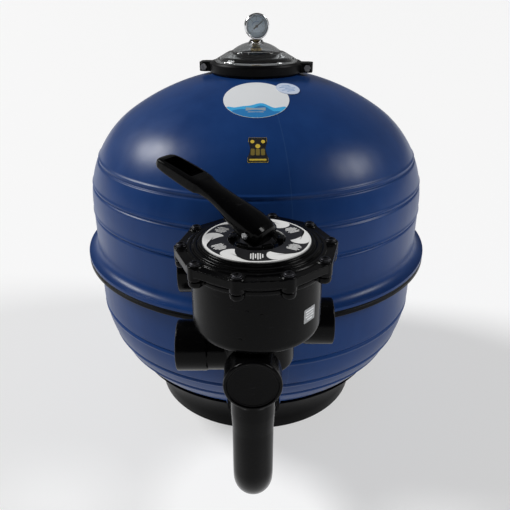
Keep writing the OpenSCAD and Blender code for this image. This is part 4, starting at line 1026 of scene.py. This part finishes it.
# ---------------------------------------------------------------- front tube and tank connections
def front_tube():
    top = TUBE_R + 1.3
    flare = [(0, 195), (TUBE_R, 200), (TUBE_R, PORT_Z - 80), (top, PORT_Z - 55), (top, PORT_Z - 22),
             (top - 2, PORT_Z - 20), (0, PORT_Z - 20)]
    down = shift(TUBE_X, -TUBE_Y)
    bits = [lathe("upright", flare, 96, down)]
    head = rounded([(0, TEE_BACK), (33, TEE_BACK, 1.5), (TEE_R, TEE_BACK + 3, 2),
                    (TEE_R, TEE_FRONT - 1.4, 1.2), (TEE_R - 1.2, TEE_FRONT, 1.0), (0, TEE_FRONT)])
    axis = along_minus_y(0, PORT_Z, TUBE_X)
    bits.append(lathe("tee", head, 128, axis))
    middle_y, middle_z = -TUBE_Y + TUBE_BEND, LOW_PORT_Z + TUBE_BEND
    path = [(TUBE_X, -TUBE_Y, middle_z + 4)]
    for i in range(25):
        a = math.radians(180 + 90 * i / 24)
        path.append((TUBE_X, middle_y + TUBE_BEND * math.cos(a), middle_z + TUBE_BEND * math.sin(a)))
    path.append((TUBE_X, -329, LOW_PORT_Z))
    bits.append(tube("bend", path, TUBE_R, 72))
    bits.append(lathe("collar", puck(30, 327.2, 331, 0.5, 0.5), 64, along_minus_y(0, LOW_PORT_Z, TUBE_X)))
    piece = fuse("tube_skin", bits, 1.2, 5)
    back = TEE_FRONT - 15.5
    boolean(piece, rod("cup", 31, back, TEE_FRONT + 2, 96, axis), "DIFFERENCE")
    boolean(piece, rod("socket", 28.6, 420, 488, 96, axis), "DIFFERENCE")
    place(piece, GLOSS, "valve_black", "tank", "loop_pipe")
    plug = lathe("plug_disc", rounded([
        (0, back), (30.9, back), (30.9, TEE_FRONT - 1.5, 0.8), (28.4, TEE_FRONT - 1.5, 0.3),
        (28.0, TEE_FRONT - 1.9, 0.3), (0, TEE_FRONT - 1.9)]), 128, axis)
    place(plug, SATIN, "satin_black", "tank", "tee_plug")


def connections():
    for name, pad_y, z, x, bore in (("upper", UPPER_PAD_Y, TOP_PORT_Z, 0.0, 26.1),
                                    ("lower", LOWER_PAD_Y, LOW_PORT_Z, TUBE_X, 25.8)):
        axis = along_minus_y(0, z, x)
        seal = rounded([(FITTING_HOLE_R, pad_y), (41, pad_y, 0.6), (41, pad_y + 3, 0.6),
                        (FITTING_HOLE_R, pad_y + 3)])
        gasket = lathe(name + "_gasket_ring", seal, 80, axis)
        place(gasket, RUBBER, "seal_rubber", "tank", name + "_gasket")
        start = pad_y + 10
        lip = pad_y + 27
        nut = rounded([(FITTING_HOLE_R, start), (35.5, start, 0.8), (36, lip - 3, 1), (35, start + 20, 1.5),
                       (bore, start + 20, 0.5), (bore, lip), (FITTING_HOLE_R, lip)])
        grips = [lathe("ring", nut, 96, axis)]
        for i in range(24):
            grip = rounded([(34, -1.6), (37.8, -1.1, 0.5), (37.8, 1.1, 0.5), (34, 1.6)], 2)
            grips.append(prism("grip", grip, start + 1.5, start + 17.5, axis @ spin(15 * i), 0.4))
        place(join(name + "_nut_ring", grips), SATIN, "satin_black", "tank", name + "_union_nut")


# ---------------------------------------------------------------- stage
def ramp(tree, value, low, high, start, end):
    """Turns a value between low and high into one between start and end."""
    made = tree.nodes.new("ShaderNodeMapRange")
    for field, number in (("From Min", low), ("From Max", high), ("To Min", start), ("To Max", end)):
        made.inputs[field].default_value = number
    tree.links.new(value, made.inputs["Value"])
    return made.outputs["Result"]


def stage():
    scene = bpy.context.scene
    scene.view_settings.view_transform = "Standard"
    scene.view_settings.look = "None"
    bm = bmesh.new()
    bmesh.ops.create_grid(bm, x_segments=1, y_segments=1, size=80.0)
    floor = finish_mesh("floor", bm)
    paper = bpy.data.materials.new("floor_paper")
    paper.use_nodes = True
    sheet = paper.node_tree.nodes["Principled BSDF"].inputs
    sheet["Base Color"].default_value = (0.55, 0.55, 0.55, 1)
    sheet["Roughness"].default_value = 0.9
    sheet["Emission Color"].default_value = (1, 1, 1, 1)
    sheet["Emission Strength"].default_value = 0.42
    floor.data.materials.append(paper)

    world = bpy.data.worlds.new("studio")
    world.use_nodes = True
    # Dim behind the tank, darker still behind the camera and overhead: the two suns give most of the light.
    tree = world.node_tree
    way = tree.nodes.new("ShaderNodeSeparateXYZ")
    tree.links.new(tree.nodes.new("ShaderNodeTexCoord").outputs["Generated"], way.inputs["Vector"])
    both = tree.nodes.new("ShaderNodeMath")
    both.operation = "MULTIPLY"
    tree.links.new(ramp(tree, way.outputs["Y"], -0.35, 0.35, 0.04, 0.22), both.inputs[0])
    tree.links.new(ramp(tree, way.outputs["Z"], 0.15, 0.8, 1.0, 0.5), both.inputs[1])
    tree.links.new(both.outputs[0], tree.nodes["Background"].inputs["Color"])
    tree.nodes["Background"].inputs["Strength"].default_value = 1.0
    scene.world = world

    for name, where, power in (("sun_left", (-0.74, 0.20, 0.62), 2.7),
                               ("sun_right", (0.81, -0.04, 0.59), 1.5)):
        data = bpy.data.lights.new(name, "SUN")
        data.energy = power
        data.angle = math.radians(19)
        lamp = bpy.data.objects.new(name, data)
        lamp.rotation_euler = Vector(where).to_track_quat("Z", "Y").to_euler()
        scene.collection.objects.link(lamp)

    data = bpy.data.cameras.new("camera")
    data.lens = LENS
    data.sensor_width = SENSOR
    camera = bpy.data.objects.new("camera", data)
    camera.location = (CAMERA_X, -CAMERA_BACK, CAMERA_HEIGHT)
    camera.rotation_euler = (math.radians(90 - CAMERA_PITCH), 0, 0)
    scene.collection.objects.link(camera)
    scene.camera = camera


dress_cad_nodes()
tank_shells()
tank_trim()
labels()
clamp()
lid()
gauge()
valve_body()
valve_cover()
cover_screws()
indicator()
handle()
front_tube()
connections()
stage()
